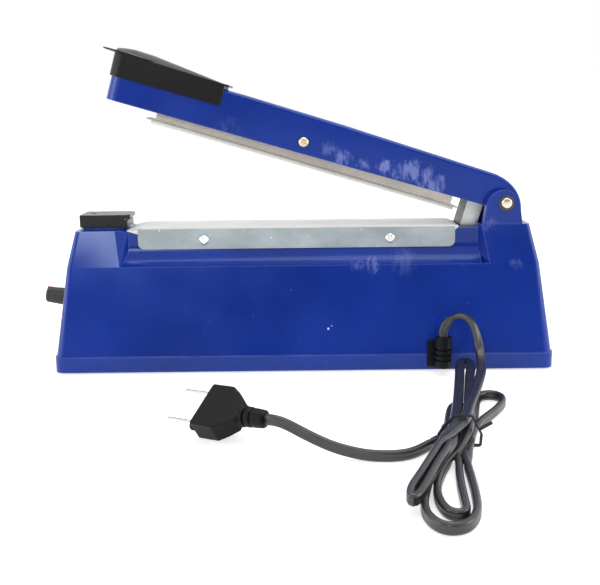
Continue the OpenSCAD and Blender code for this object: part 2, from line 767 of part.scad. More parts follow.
// plate over the cover's sides that runs on as the visor in front and a lip behind
module visor() {
  hull() {
    translate([arm_l - arm_w / 2, 0, side_top(arm_l) - 0.7]) cylinder(r = arm_w / 2 + 1, h = 1.4, $fn = 48);
    translate([arm_l + visor_l - arm_w / 2, 0, side_top(arm_l) + 0.1])
      cylinder(r = arm_w / 2, h = 1, $fn = 48);
  }
  translate([cover_s0 - visor_back, -arm_w / 2, side_top(cover_s0) - 1])
    cube([visor_back + 2, arm_w, 1.2]);
}
visor_back = 2.5;

module handle_cover() {
  color("black") on_arm() difference() {
    union() {
      hull()
        for (s = cover_stations) {
          past = s > arm_l - arm_corner_r ? cover_wall * (s - arm_l + arm_corner_r) / arm_corner_r : 0;
          cover_section(s + past, arm_half(s) + cover_wall, side_top(s), crown(s));
        }
      visor();
    }
    // seat on the arm
    hull()
      for (s = concat([cover_s0 - 5], cover_stations))
        arm_section(s, arm_half(s) + 0.02, cover_low - bite, arm_top(s) + 0.02, 2.5);
  }
}

// ---------------------------------------------------------------- pressing bar

bar_t = 1.2;
bar_w = 17;
bar_foot_t = 0.8;
bar_screw_d = 4;
bar_lug_r = 5;

module press_bar() {
  color("silver") on_bar() difference() {
    union() {
      translate([bar_mid_s - bar_foot_l / 2, -bar_w / 2 - 1, -bar_drop]) cube([bar_foot_l, bar_w + 2, bar_foot_t]);
      for (side = [0, 1])
        mirror([0, side, 0]) {
          translate([bar_mid_s - bar_l / 2, -bar_w / 2, -bar_drop]) cube([bar_l, bar_t, bar_drop - 3]);
          translate([bar_s, -bar_w / 2 + bar_t, 0]) rotate([90, 0, 0]) linear_extrude(bar_t) {
            translate([0, bar_n]) circle(bar_lug_r, $fn = 48);
            translate([-bar_lug_r, -3 - bite]) square([2 * bar_lug_r, bar_n + 3 + bite]);
          }
        }
    }
    translate([bar_s, 0, bar_n]) rod_y(bar_screw_d + 2 * fit, arm_w);
  }
}

module silicone_strip() {
  color("floralwhite") on_bar()
    translate([bar_mid_s - silicone_l / 2, -silicone_w / 2, -bar_drop - silicone_t])
      cube([silicone_l, silicone_w, silicone_t]);
}

module bar_screw() {
  color("gold") on_arm() translate([bar_s, -arm_w / 2, bar_n]) rotate([90, 0, 0])
    screw(6.2, 1.8, bar_screw_d, arm_w + nut_t);
}

nut_t = 3;
module bar_nut() {
  color("silver") on_arm() translate([bar_s, arm_w / 2 + nut_t / 2, bar_n]) rotate([90, 0, 0]) difference() {
    cylinder(d = 7.6, h = nut_t, center = true, $fn = 6);
    cylinder(d = bar_screw_d + 2 * fit, h = nut_t + 2, center = true, $fn = 36);
  }
}

// ---------------------------------------------------------------- hinge

washer_t = 0.6;

module pivot_pin() {
  color("lightgoldenrodyellow") translate([pivot_x, 0, pivot_z]) {
    rod_y(pin_d, 2 * pin_half_l);
    for (side = [0, 1])
      mirror([0, side, 0]) translate([0, -pin_half_l, 0]) rotate([90, 0, 0]) rotate_extrude($fn = 48)
        polygon([[0, 0], [pin_head_d / 2, 0], [pin_head_d / 2, 0.9],
                 [pin_head_d / 2 - 0.6, 1.5], [0, 1.7]]);
  }
}

module pivot_washers() {
  color("dimgray")
    for (side = [-1, 1])
      translate([pivot_x, side * (ear_y + washer_t / 2), pivot_z]) difference() {
        rod_y(washer_d, washer_t);
        rod_y(pin_d + 2 * fit, washer_t + 1);
      }
}

// side view of one leg of the spring bracket
module bracket_plan() {
  circle(bracket_eye_r, $fn = 48);
  polygon([[plate_s, bracket_eye_r - 1], [plate_s, bracket_roof], [plate_s + plate_l, bracket_roof],
           [plate_s + plate_l, 0], [bracket_s, -4],
           [bracket_s, 3 - bracket_foot], [bracket_s - 3, -bracket_foot],
           [bracket_s - bracket_leg + 3, -bracket_foot], [bracket_s - bracket_leg, 3 - bracket_foot],
           [bracket_s - bracket_leg, -bracket_eye_r], [bracket_eye_r / 2, -bracket_eye_r * 0.8]]);
}
bracket_eye_r = 6.4;
plate_s = 3;
plate_l = 34;

module spring_bracket() {
  color("silver") on_arm() difference() {
    union() {
      for (side = [0, 1])
        mirror([0, side, 0]) translate([0, -bracket_w / 2 + bracket_t, 0]) rotate([90, 0, 0])
          linear_extrude(bracket_t) bracket_plan();
      // web that faces the jaws
      translate([bracket_s - bracket_t, -bracket_w / 2, 7 - bracket_foot])
        cube([bracket_t, bracket_w, bracket_foot - 7 - arm_drop + 1]);
      // top plate under the arm's pillars
      translate([plate_s, -bracket_w / 2, bracket_roof]) cube([plate_l, bracket_w, bracket_t]);
      // pin that holds the spring's eye
      translate([hook_s, 0, hook_n]) rod_y(post_d, bracket_w);
    }
    rod_y(pin_d + 2 * fit, arm_w);
    for (s = bracket_screw_s)
      translate([s, 0, bracket_roof - bite]) cylinder(d = bracket_screw_d + 2 * fit, h = 4, $fn = 36);
  }
}

module bracket_screws() {
  color("silver") on_arm()
    for (s = bracket_screw_s)
      translate([s, 0, bracket_roof]) mirror([0, 0, 1]) screw(5.6, 1.6, bracket_screw_d, 5);
}

post_d = 3;
post_x = pivot_x - 77;
post_z = crease_z + 5;
spring_d = 9;
spring_wire = 1.4;
spring_turns = 12;
hook = arm_point(hook_s, hook_n);
spring_run = sqrt(pow(hook[0] - post_x, 2) + pow(hook[2] - post_z, 2));
spring_tilt = atan2(hook[2] - post_z, hook[0] - post_x);
eye_r = post_d / 2 + spring_wire / 2 + slip;

// ring round a point of a wire that runs from a to b, square to the given axis
function ring_at(a, b, p, axis, r, n) =
  let (t = (b - a) / norm(b - a), side = cross(t, axis) / norm(cross(t, axis)), up = cross(side, t))
  [for (k = [0 : n - 1]) p + r * cos(360 * k / n) * side + r * sin(360 * k / n) * up];

// closed tube through a list of rings
module sweep(rings, n) {
  last = len(rings) - 1;
  polyhedron(
    points = [for (ring = rings, p = ring) p],
    faces = concat(
      [[for (k = [n - 1 : -1 : 0]) k]],
      [for (i = [0 : last - 1], k = [0 : n - 1])
        [i * n + k, i * n + (k + 1) % n, (i + 1) * n + (k + 1) % n, (i + 1) * n + k]],
      [[for (k = [0 : n - 1]) last * n + k]]
    )
  );
}

// tension spring that pulls the arm open, from the post to the bracket's pin
module return_spring() {
  start = eye_r + 5;
  coil_l = spring_run - 2 * start;
  coil_r = (spring_d - spring_wire) / 2;
  steps = 12;
  last = steps * spring_turns;
  turn = [for (i = [0 : last])
    [start + coil_l * i / last, coil_r * cos(360 * i / steps), coil_r * sin(360 * i / steps)]];
  color("gray") translate([post_x, 0, post_z]) rotate([0, -spring_tilt, 0]) {
    sweep([for (i = [0 : last])
      ring_at(turn[max(i - 1, 0)], turn[min(i + 1, last)], turn[i], [1, 0, 0], spring_wire / 2, 6)], 6);
    // eyes at both ends, with a shank that steps out to the coil
    for (end = [0, 1])
      translate([end * spring_run, 0, 0]) mirror([end, 0, 0]) {
        rotate([90, 0, 0]) rotate_extrude($fn = 24) translate([eye_r, 0]) circle(d = spring_wire, $fn = 16);
        translate([eye_r, 0, 0]) rotate([0, 90, 0])
          cylinder(d = spring_wire, h = start - eye_r, $fn = 16);
        translate([start, 0, 0]) sphere(d = spring_wire, $fn = 16);
        translate([start, coil_r / 2, 0]) rod_y(spring_wire, coil_r);
      }
  }
}

module spring_post() {
  color("silver") translate([post_x, 0, post_z]) rod_y(post_d, 2 * (mid_half_w - 1));
}

// ---------------------------------------------------------------- electrics

core_x = base_x - 20;
core_l = 60;
core_w = 26;
core_h = 50;
core_z = bottom_z + bottom_t;
core_foot_l = 8;
core_foot_t = 2;
core_screw_d = 3.5;
core_screw_x = core_l / 2 + core_foot_l / 2;
core_screw_y = core_w / 4;
window_l = 12;
limb = 8;                               // half width of the core's middle limb

// laminated iron core of the transformer, with two windows
module transformer_core() {
  color("slategray") translate([core_x, 0, core_z]) difference() {
    union() {
      translate([-core_l / 2, -core_w / 2, 0]) cube([core_l, core_w, core_h]);
      translate([-core_l / 2 - core_foot_l, -core_w / 2, 0])
        cube([core_l + 2 * core_foot_l, core_w, core_foot_t]);
    }
    for (side = [-1, 1])
      translate([side * (window_l / 2 + limb), 0, core_h / 2])
        cube([window_l, core_w + 2, core_h - 2 * limb], center = true);
    for (x = [-1, 1], y = [-1, 1])
      translate([x * core_screw_x, y * core_screw_y, -bite])
        cylinder(d = core_screw_d + 2 * fit, h = core_foot_t + 2 * bite, $fn = 36);
  }
}

module transformer_coil() {
  color("sienna") translate([core_x, 0, core_z + core_h / 2]) difference() {
    cube([2 * (window_l + limb - 1), core_w + 20, core_h - 2 * limb - 2], center = true);
    cube([2 * limb + slip, core_w + slip, core_h], center = true);
  }
}

module transformer_screws() {
  color("silver") translate([core_x, 0, core_z])
    for (x = [-1, 1], y = [-1, 1])
      translate([x * core_screw_x, y * core_screw_y, core_foot_t])
        screw(6, 1.6, core_screw_d, core_foot_t + bottom_t - 0.2);
}

pot_bush_d = 7;
pot_body_d = 17;
shaft_d = 6;
pot_l = 9;
board_l = 50;
board_w = 42;
board_t = 1.6;
wall_in_x = front_x + end_step + end_lean_x;     // outer face of the end wall at the knob

// places children at the end wall, +Z out along the timer's shaft, square to the wall
module on_pot() {
  translate([wall_in_x, 0, knob_z]) rotate([0, end_lean - 90, 0]) children();
}

lamp_z = knob_z + 14;
lamp_d = 6;

module on_lamp() {
  translate([front_x + end_step + (lamp_z - rim_z) * tan(end_lean), 0, lamp_z])
    rotate([0, end_lean - 90, 0]) children();
}

module timer_board() {
  x = wall_in_x + (pot_l - pot_x) * cos(end_lean) + pot_body_d / 2 * sin(end_lean) + fit;
  color("darkgreen") {
    translate([x, -board_w / 2, core_z + board_foot_h]) cube([board_t, board_w, board_l - board_foot_h]);
    // plastic foot that the board stands in
    translate([x - board_foot_h, -board_w / 2, core_z])
      cube([board_t + 2 * board_foot_h, board_w, board_foot_h]);
    // relay, capacitor and resistors
    translate([x + board_t, -board_w * 0.4, core_z + board_l * 0.6]) cube([relay_l, 12, 16]);
    translate([x + board_t, board_w / 4, core_z + board_l * 0.72]) rotate([0, 90, 0])
      cylinder(d = 10, h = relay_l - 1, $fn = 36);
    for (y = [-1, 1, 3])
      translate([x + board_t, y * board_w / 10, core_z + board_l * 0.32]) rotate([0, 90, 0])
        cylinder(d = 2.6, h = relay_l / 2, $fn = 24);
  }
}
board_foot_h = 4;
relay_l = 15;

pot_x = -wall - 4;                      // front of the potentiometer's case along its shaft
shaft_in = 6;
pot_bush_l = 2.6;                       // how far the bush stands out of the wall
shaft_grip = 8;                         // depth of the shaft in the knob

module timer_pot() {
  color("silver") on_pot() difference() {
    union() {
      translate([0, 0, pot_x - pot_l]) cylinder(d = pot_body_d, h = pot_l, $fn = 48);
      translate([0, 0, pot_x - bite]) cylinder(d = pot_bush_d, h = bite - pot_x + pot_bush_l, $fn = 48);
    }
    translate([0, 0, pot_x - shaft_in]) cylinder(d = shaft_d + 2 * fit, h = shaft_in - pot_x + 5, $fn = 48);
  }
}

module timer_shaft() {
  color("silver") on_pot() translate([0, 0, pot_x - shaft_in + fit])
    cylinder(d = shaft_d, h = shaft_in - pot_x + knob_gap + shaft_grip - 2 * fit, $fn = 48);
}

module pot_nut() {
  color("silver") on_pot() translate([0, 0, fit]) difference() {
    cylinder(d = 11, h = 2, $fn = 6);
    translate([0, 0, -1]) cylinder(d = pot_bush_d + 2 * fit, h = 5, $fn = 48);
  }
}

flutes = 18;
flute_d = 1.4;
pointer_w = 1.6;

module timer_knob() {
  taper = atan((knob_foot_d - knob_tip_d) / 2 / knob_l);
  color("black") on_pot() translate([0, 0, knob_gap]) difference() {
    rotate_extrude($fn = 48)
      polygon([[0, 0], [knob_foot_d / 2, 0], [knob_tip_d / 2, knob_l - tip_h],
               [knob_tip_d / 2 - tip_h, knob_l], [0, knob_l]]);
    for (i = [1 : flutes - 1])
      rotate(i * 360 / flutes) translate([knob_foot_d / 2 + 0.3, 0, 0]) rotate([0, -taper, 0])
        translate([0, 0, -bite]) cylinder(d = flute_d, h = knob_l - 1.5, $fn = 24);
    translate([0, 0, -bite]) cylinder(d = shaft_d, h = shaft_grip + bite, $fn = 48);
    // groove for the pointer along the top
    translate([knob_tip_d / 2 - 0.7, -pointer_w / 2, -bite]) cube([3, pointer_w, knob_l + 2]);
    translate([0, 0, knob_l - 0.6]) cylinder(d = knob_tip_d - 3.4, h = 2, $fn = 48);
  }
}

// red pointer: a line along the top and a disc on the tip
module knob_pointer() {
  color("crimson") on_pot() translate([0, 0, knob_gap]) {
    translate([knob_tip_d / 2 - 0.7, -pointer_w / 2, 0.4]) cube([0.95, pointer_w, knob_l - 0.4]);
    translate([0, 0, knob_l - 0.6]) cylinder(d = knob_tip_d - 3.4, h = 0.6, $fn = 48);
  }
}

module indicator_lamp() {
  color("red") on_lamp() {
    translate([0, 0, -8]) cylinder(d = lamp_d, h = 9, $fn = 48);
    translate([0, 0, 0.2]) cylinder(d = lamp_d + 2, h = 0.8, $fn = 48);
    translate([0, 0, 1]) intersection() {
      sphere(d = lamp_d, $fn = 48);
      translate([0, 0, -0.2]) cylinder(d = lamp_d, h = 4, $fn = 48);
    }
  }
}

// ---------------------------------------------------------------- cord and plug

// places that the cord passes, from the strain relief to the plug
cord_route = [
  // up and over from the strain relief
  [93.5, -49, 24.5], [93.5, -49, 29], [96, -50, 35], [100.5, -51, 38.5], [105, -52, 39], [109, -54, 36.5],
  [112, -57, 30], [114, -61, 20],
  // down the right of the bundle to the tie
  [113, -72, 14], [109, -91, 13], [101, -118, 12], [92, -148, 13], [84, -174, 13],
  // fold on the left
  [74, -196, 10], [62, -217, 8], [52, -234, 7], [48, -243, 6], [50, -249, 5], [54, -243, 5],
  [63, -219, 7], [73, -195, 8], [79, -174, 8.6],
  // up to the fold against the housing
  [83, -158, 9.5], [89, -130, 8], [98, -84, 9], [103, -58, 10], [106, -51, 10], [109, -57, 10],
  [104, -84, 9], [95, -130, 8], [90, -158, 9.5], [86, -174, 8.6],
  // small loop in the middle
  [80, -187, 5], [71, -202, 3], [65, -217, 2], [62, -234, 2], [62, -249, 2], [66, -258, 2],
  [71, -257, 2], [74, -245, 2], [75, -225, 2], [77, -202, 2], [82.5, -174, 4.5],
  // short fold under the bundle
  [84, -163, 5.8], [88, -145, 2.2], [92, -129, 2.2], [94, -120, 2.2], [91, -115, 2.2], [88, -120, 2.2],
  [81, -150, 2.2], [77.5, -163, 5.8], [76.5, -174, 4.5],
  // big loop at the bottom
  [71, -193, 2.5], [63, -215, 2], [58, -232, 2], [56, -246, 2], [57, -258, 2], [62, -266, 2], [70, -266, 2],
  [76, -257, 2], [80, -240, 2], [83, -218, 2], [85, -198, 2], [88.5, -174, 4.5],
  // loop on the right, which comes back under the bundle
  [91, -163, 5.8], [94.5, -146, 2.5], [100, -122, 2], [104, -107, 2], [110, -100, 2], [117, -103, 2],
  [117.5, -113, 2], [112, -125, 2], [100, -144, 2], [90, -159, 1.9], [76, -165, 1.9],
  // lead to the plug
  [63, -176, 2], [52, -187, 2], [36, -189, 2], [20, -187, 5], [6, -181, 10]
];

relief_x = cord_route[0][0];
relief_z = 12;
relief_neck = 9;
relief_flange = 15;
boot_w = 10.2;
boot_y = base_w / 2 + 9;                // middle of the boot, where the cord leaves it
boot_top = 24.5;

// clamp of the cord's entry: a flange, a barbed neck in the wall and a ribbed boot
module strain_relief() {
  face_y = -base_w / 2 - 0.1;
  color("black") {
    translate([relief_x - relief_flange / 2 - 1, face_y - 2.2, relief_z - 8.6])
      cube([relief_flange, 2.2, 17]);
    translate([relief_x - relief_neck / 2 + 0.15, face_y - bite, relief_z - relief_neck / 2 + 0.15])
      cube([relief_neck - 0.3, 7.5, relief_neck - 0.3]);
    difference() {
      translate([relief_x, 0, 0]) union() {
        translate([0, -boot_y, 5]) cylinder(d = boot_w, h = boot_top - 5, $fn = 48);
        translate([-boot_w / 2, -boot_y, 5]) cube([boot_w, boot_y + face_y - 2, boot_top - 8]);
      }
      for (z = [9.5, 12.9, 16.3])
        translate([relief_x, -boot_y, z]) difference() {
          translate([-boot_w, -boot_w, 0]) cube([2 * boot_w, boot_w + 5, 1.2]);
          cylinder(d = boot_w - 3, h = 1.2, $fn = 36);
        }
    }
  }
}

plug_at = [-46, -151.5, 12.8];
plug_turn = [34, -3, -33];               // roll about its axis, pitch and heading
plug_body_l = 25;
plug_neck_l = 14;
plug_w = 26.5;
plug_t = 12;

function turn_x(p, a) = [p[0], p[1] * cos(a) - p[2] * sin(a), p[1] * sin(a) + p[2] * cos(a)];
function turn_y(p, a) = [p[0] * cos(a) + p[2] * sin(a), p[1], p[2] * cos(a) - p[0] * sin(a)];
function turn_z(p, a) = [p[0] * cos(a) - p[1] * sin(a), p[0] * sin(a) + p[1] * cos(a), p[2]];
function plug_point(p) = plug_at + turn_z(turn_y(turn_x(p, plug_turn[0]), plug_turn[1]), plug_turn[2]);

// flat section of the cord at one place of its route, across the direction of travel
function cord_ring(a, b, p) =
  let (t = (b - a) / norm(b - a), level = cross(t, [0, 0, 1]),
       side = norm(level) < 0.1 ? [0, -1, 0] : level / norm(level), up = cross(side, t))
  [for (k = [0 : 7]) p + cord_w / 2 * cos(45 * k) * side + cord_t / 2 * sin(45 * k) * up];

module power_cord() {
  plug_l = plug_body_l + plug_neck_l;
  route = concat(cord_route, [plug_point([plug_l + 9, 0, 0]), plug_point([plug_l, 0, 0])]);
  last = len(route) - 1;
  color("black")
    sweep([for (i = [0 : last]) cord_ring(route[max(i - 1, 0)], route[min(i + 1, last)], route[i])], 8);
}

tie_y = -174;

// wire tie round the bundle, with its ends twisted together
module cord_tie() {
  color("black") {
    translate([0, tie_y + 0.8, 0]) rotate([90, 0, 0]) linear_extrude(1.6) difference() {
      offset(r = 1.1) tie_inside();
      tie_inside();
    }
    translate([92.2, tie_y, 9]) rotate([0, 60, 0]) cylinder(d = 1.8, h = 7, $fn = 24);
  }
}

module tie_inside() {
  polygon([[72.8, 1.2], [92.2, 1.2], [92.6, 6.4], [90, 11], [88, 15.4], [80, 15.4], [75.4, 11], [72.4, 6.4]]);
}

// places children in the plug's frame: +X from the pins to the cord, +Y across
module on_plug() {
  translate(plug_at) rotate([0, 0, plug_turn[2]]) rotate([0, plug_turn[1], 0]) rotate([plug_turn[0], 0, 0])
    children();
}

module plug_body() {
  color("black") on_plug() difference() {
    union() {
      // shoulders: the plan and the side view cut each other
      intersection() {
        linear_extrude(plug_t, center = true) {
          polygon([[2, -plug_w / 2], [15, -plug_w / 2], [20, 3 - plug_w / 2], [plug_body_l, -6],
                   [plug_body_l, 6], [20, plug_w / 2 - 3], [15, plug_w / 2], [2, plug_w / 2],
                   [0, plug_w / 2 - 2], [0, 2 - plug_w / 2]]);
        }
        rotate([90, 0, 0]) linear_extrude(plug_w + 2, center = true)
          polygon([[0, 1.5 - plug_t / 2], [1.5, -plug_t / 2], [13, -plug_t / 2], [plug_body_l, -4.5],
                   [plug_body_l, 4.5], [13, plug_t / 2], [1.5, plug_t / 2], [0, plug_t / 2 - 1.5]]);
      }
      // neck with two grooves
      translate([plug_body_l - bite, 0, 0]) rotate([0, 90, 0]) rotate_extrude($fn = 48)
        polygon([[0, 0], [5.6, 0], [5.5, 3], [4, 3], [4, 4.2], [5.3, 4.2], [5.1, 7], [4, 7], [4, 8.2],
                 [5, 8.2], [4.6, plug_neck_l], [3.6, plug_neck_l + bite], [0, plug_neck_l + bite]]);
      // collars of the pins
      for (y = [-1, 1])
        translate([-1.4, y * plug_pin_gap / 2, 0]) rotate([0, 90, 0]) cylinder(d = 6.4, h = 1.5, $fn = 36);
    }
    for (y = [-1, 1])
      translate([-2, y * plug_pin_gap / 2, 0]) rotate([0, 90, 0]) cylinder(d = plug_pin_d + 2 * fit, h = 12, $fn = 36);
  }
}

module plug_pins() {
  color("silver") on_plug()
    for (y = [-1, 1])
      translate([-plug_pin_l, y * plug_pin_gap / 2, 0]) rotate([0, 90, 0]) {
        translate([0, 0, 1]) cylinder(d = plug_pin_d, h = plug_pin_l + 8, $fn = 36);
        cylinder(d1 = plug_pin_d - 1.6, d2 = plug_pin_d, h = 1.01, $fn = 36);
      }
}

housing();
bottom_plate();
rubber_feet();
foot_screws();
platform();
insulation_strip();
heating_strip();
strip_terminals();
release_cloth();
front_clamp_plate();
rear_clamp_plate();
clamp_screws();
switch_cap();
microswitch();
switch_plunger();
press_arm();
handle_cover();
press_bar();
silicone_strip();
bar_screw();
bar_nut();
pivot_pin();
pivot_washers();
spring_bracket();
bracket_screws();
return_spring();
spring_post();
transformer_core();
transformer_coil();
transformer_screws();
timer_board();
timer_pot();
timer_shaft();
pot_nut();
timer_knob();
knob_pointer();
indicator_lamp();
strain_relief();
power_cord();
cord_tie();
plug_body();
plug_pins();
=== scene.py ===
import math

import bmesh
import bpy
from mathutils import Matrix, Vector


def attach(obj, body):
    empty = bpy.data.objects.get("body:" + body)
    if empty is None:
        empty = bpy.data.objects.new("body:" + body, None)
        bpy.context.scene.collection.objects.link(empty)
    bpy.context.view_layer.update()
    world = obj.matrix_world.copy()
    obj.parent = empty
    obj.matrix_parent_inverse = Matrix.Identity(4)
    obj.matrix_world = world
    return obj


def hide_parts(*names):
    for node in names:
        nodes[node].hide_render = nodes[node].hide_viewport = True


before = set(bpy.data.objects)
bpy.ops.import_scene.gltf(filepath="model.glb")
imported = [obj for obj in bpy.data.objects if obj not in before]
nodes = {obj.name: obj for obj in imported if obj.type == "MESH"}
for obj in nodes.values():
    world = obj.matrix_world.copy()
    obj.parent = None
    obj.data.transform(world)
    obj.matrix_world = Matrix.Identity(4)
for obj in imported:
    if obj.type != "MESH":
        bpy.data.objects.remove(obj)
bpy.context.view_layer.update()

MM = 0.001
scene = bpy.context.scene
scene.view_settings.view_transform = "Standard"

# ---------------------------------------------------------------- camera

CAMERA_AT = Vector((4.3, -600.0, 163.8)) * MM
CAMERA_PITCH = math.radians(11.29)       # below the horizon
CAMERA_ROLL = math.radians(-0.64)
CAMERA_LENS = 54.5                       # on a sensor 36 mm wide

camera_data = bpy.data.cameras.new("camera")
camera_data.lens = CAMERA_LENS
camera_data.sensor_width = 36.0
camera_data.clip_start = 0.01
camera = bpy.data.objects.new("camera", camera_data)
scene.collection.objects.link(camera)
camera.matrix_world = (Matrix.Translation(CAMERA_AT)
                       @ Matrix.Rotation(math.radians(90) - CAMERA_PITCH, 4, "X")
                       @ Matrix.Rotation(CAMERA_ROLL, 4, "Z"))
scene.camera = camera

# ---------------------------------------------------------------- mesh helpers

WELD = 2e-6                              # metres
FLAT_ANGLE = math.radians(0.6)           # faces that meet at less are joined
BEVEL_ANGLE = math.radians(28)           # edges sharper than this are rounded
BEVEL_SHARP = math.radians(40)           # edges that stay sharp after rounding
CORD_SHARP = math.radians(50)


def put(name, mesh, body, node, material):
    """Link a mesh as a piece that rides on a body and stands for a node."""
    piece = bpy.data.objects.new(name, mesh)
    scene.collection.objects.link(piece)
    mesh.materials.append(material)
    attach(piece, body)
    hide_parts(node)
    return piece


def smooth(mesh, sharp):
    """Smooth shading that keeps the edges sharper than an angle."""
    mesh.shade_smooth()
    mesh.set_sharp_from_angle(angle=sharp)


def applied(mesh, *modifiers):
    """The mesh with modifiers applied; each is (type, {property: value})."""
    holder = bpy.data.objects.new("holder", mesh)
    scene.collection.objects.link(holder)
    for kind, values in modifiers:
        modifier = holder.modifiers.new(kind, kind)
        for key, value in values.items():
            setattr(modifier, key, value)
    depsgraph = bpy.context.evaluated_depsgraph_get()
    result = bpy.data.meshes.new_from_object(holder.evaluated_get(depsgraph))
    bpy.data.objects.remove(holder)
    return result


def node_mesh(name):
    """Clean copy of a CAD node: welded, with the flat faces joined up."""
    bm = bmesh.new()
    bm.from_mesh(nodes[name].data)
    bmesh.ops.remove_doubles(bm, verts=bm.verts, dist=WELD)
    bmesh.ops.dissolve_limit(bm, angle_limit=FLAT_ANGLE, verts=bm.verts, edges=bm.edges)
    mesh = bpy.data.meshes.new(name)
    bm.to_mesh(mesh)
    bm.free()
    return mesh


def bevelled(name, width):
    """A CAD node with its sharp edges rounded, width in mm."""
    mesh = applied(node_mesh(name),
                   ("BEVEL", dict(width=width * MM, segments=3, limit_method="ANGLE",
                                  angle_limit=BEVEL_ANGLE, miter_outer="MITER_ARC")))
    smooth(mesh, BEVEL_SHARP)
    return applied(mesh, ("WEIGHTED_NORMAL", dict(mode="FACE_AREA", weight=50, keep_sharp=True)))


def moulded(name, voxel, passes):
    """A CAD node remeshed and eased all over, as a soft moulding; voxel in mm."""
    mesh = applied(node_mesh(name),
                   ("REMESH", dict(mode="VOXEL", voxel_size=voxel * MM)),
                   ("SMOOTH", dict(iterations=passes, factor=0.5)))
    mesh.shade_smooth()
    return mesh

# ---------------------------------------------------------------- node helpers

WHITE = (1.0, 1.0, 1.0, 1.0)
SPOT_SQUASH = Vector((1.0, 0.2, 1.0))    # a spot on a side wall reaches deep into it


class Nodes:
    """Short way to build the node tree of a material or a world."""

    def __init__(self, owner, output="ShaderNodeOutputMaterial"):
        owner.use_nodes = True
        self.tree = owner.node_tree
        self.tree.nodes.clear()
        self.output = self.add(output)

    def add(self, kind, inputs=None, **attributes):
        node = self.tree.nodes.new(kind)
        for key, value in attributes.items():
            setattr(node, key, value)
        for key, value in (inputs or {}).items():
            self.set(node.inputs[key], value)
        return node

    def set(self, socket, value):
        if isinstance(value, bpy.types.NodeSocket):
            self.tree.links.new(value, socket)
        else:
            socket.default_value = value

    def surface(self, shader):
        self.set(self.output.inputs["Surface"], shader.outputs[0])

    def coords(self, kind="Object"):
        return self.add("ShaderNodeTexCoord").outputs[kind]

    def stretched(self, scale):
        return self.add("ShaderNodeMapping", {"Vector": self.coords(), "Scale": scale}).outputs[0]

    def noise(self, scale, detail=3.0, rough=0.5, stretch=None):
        vector = self.stretched(stretch) if stretch else self.coords()
        return self.add("ShaderNodeTexNoise", {"Vector": vector, "Scale": scale, "Detail": detail,
                                               "Roughness": rough}).outputs["Fac"]

    def ramp(self, value, low, high, out_low=0.0, out_high=1.0, **attributes):
        return self.add("ShaderNodeMapRange", {"Value": value, "From Min": low, "From Max": high,
                                               "To Min": out_low, "To Max": out_high},
                        **attributes).outputs[0]

    def math(self, operation, a, b):
        return self.add("ShaderNodeMath", {0: a, 1: b}, operation=operation).outputs[0]

    def blend(self, fac, a, b):
        """Mix of two colours; b where fac is 1."""
        node = self.add("ShaderNodeMix", data_type="RGBA")
        self.set(node.inputs[0], fac)
        for socket, value in ((node.inputs[6], a), (node.inputs[7], b)):
            self.set(socket, (*value, 1.0) if isinstance(value, tuple) else value)
        return node.outputs[2]

    def near(self, point, radius, soft, ragged=0.0):
        """1 within radius of a point on a side wall, falling to 0 over soft (all in mm)."""
        gap = self.add("ShaderNodeVectorMath",
                       {0: self.stretched(SPOT_SQUASH), 1: Vector(point) * SPOT_SQUASH * MM},
                       operation="DISTANCE")
        gap = self.math("ADD", gap.outputs["Value"], ragged)
        return self.ramp(gap, (radius + soft) * MM, radius * MM)

    def normal(self):
        return self.add("ShaderNodeNewGeometry").outputs["Normal"]

    def edges(self, radius):
        """0 on flat places, rising where the surface turns within radius (mm)."""
        rounded = self.add("ShaderNodeBevel", {"Radius": radius * MM}, samples=6).outputs[0]
        same = self.add("ShaderNodeVectorMath", {0: rounded, 1: self.normal()}, operation="DOT_PRODUCT")
        return self.math("SUBTRACT", 1.0, same.outputs["Value"])

    def bump(self, height, strength, distance, normal=None):
        """Bumps of a height socket, distance in mm, over another normal if there is one."""
        node = self.add("ShaderNodeBump",
                        {"Height": height, "Strength": strength, "Distance": distance * MM})
        if normal is not None:
            self.set(node.inputs["Normal"], normal)
        return node.outputs[0]

    def shown(self):
        """1 where the camera, a reflection or glass sees the surface, 0 for light on the object."""
        path = self.add("ShaderNodeLightPath")
        seen = path.outputs["Is Camera Ray"]
        for ray in ("Is Glossy Ray", "Is Transmission Ray"):
            seen = self.math("MAXIMUM", seen, path.outputs[ray])
        return seen


materials = {}


def new_material(name):
    """The node tree of a new material, which is kept in materials."""
    materials[name] = bpy.data.materials.new(name)
    return Nodes(materials[name])


def scaled(color, factor):
    return tuple(min(1.0, c * factor) for c in color)


def rough_range(n, middle, spread, scale=60.0):
    return n.ramp(n.noise(scale, 4.0, 0.6), 0.3, 0.7, middle - spread, middle + spread)


def varied(n, color, amount, scale):
    """A colour that drifts a little darker and lighter over the surface."""
    drift = n.ramp(n.noise(scale, 3.0, 0.55), 0.35, 0.65)
    return n.blend(drift, scaled(color, 1.0 - amount), scaled(color, 1.0 + amount))


def principled(n, color, rough, normal, metallic=0.0, **more):
    shader = n.add("ShaderNodeBsdfPrincipled", {"Base Color": color, "Roughness": rough,
                                                "Metallic": metallic, "Normal": normal})
    for key, value in more.items():
        n.set(shader.inputs[key.replace("_", " ")], value)
    n.surface(shader)

# ---------------------------------------------------------------- materials

BLUE = (0.0044, 0.0310, 0.302)
BLUE_WORN = (0.220, 0.265, 0.650)
BLUE_EDGE_HIGHLIGHT = (0.090, 0.150, 0.560)        # painted highlight along the rounded edges
BLUE_SHEEN = (0.70, 0.85, 1.0, 1.0)      # tint of its reflections
# colour of the small white spots on the housing
SPOT_WHITE = (0.80, 0.84, 0.90)
# painted shade round the head of the arm screw
SCREW_SHADE = (0.004, 0.007, 0.030)
ZINC_MARK = (0.86, 0.90, 0.90)
# painted shade for the faces that turn to -X
ZINC_PAINTED_SHADE = (0.035, 0.035, 0.040)
EDGE_HIGHLIGHT_REACH = 1.0                         # mm from an edge that gets the painted highlight
RIM_RAGGED = 2.6 * MM                    # how far a scuff's rim wanders in and out


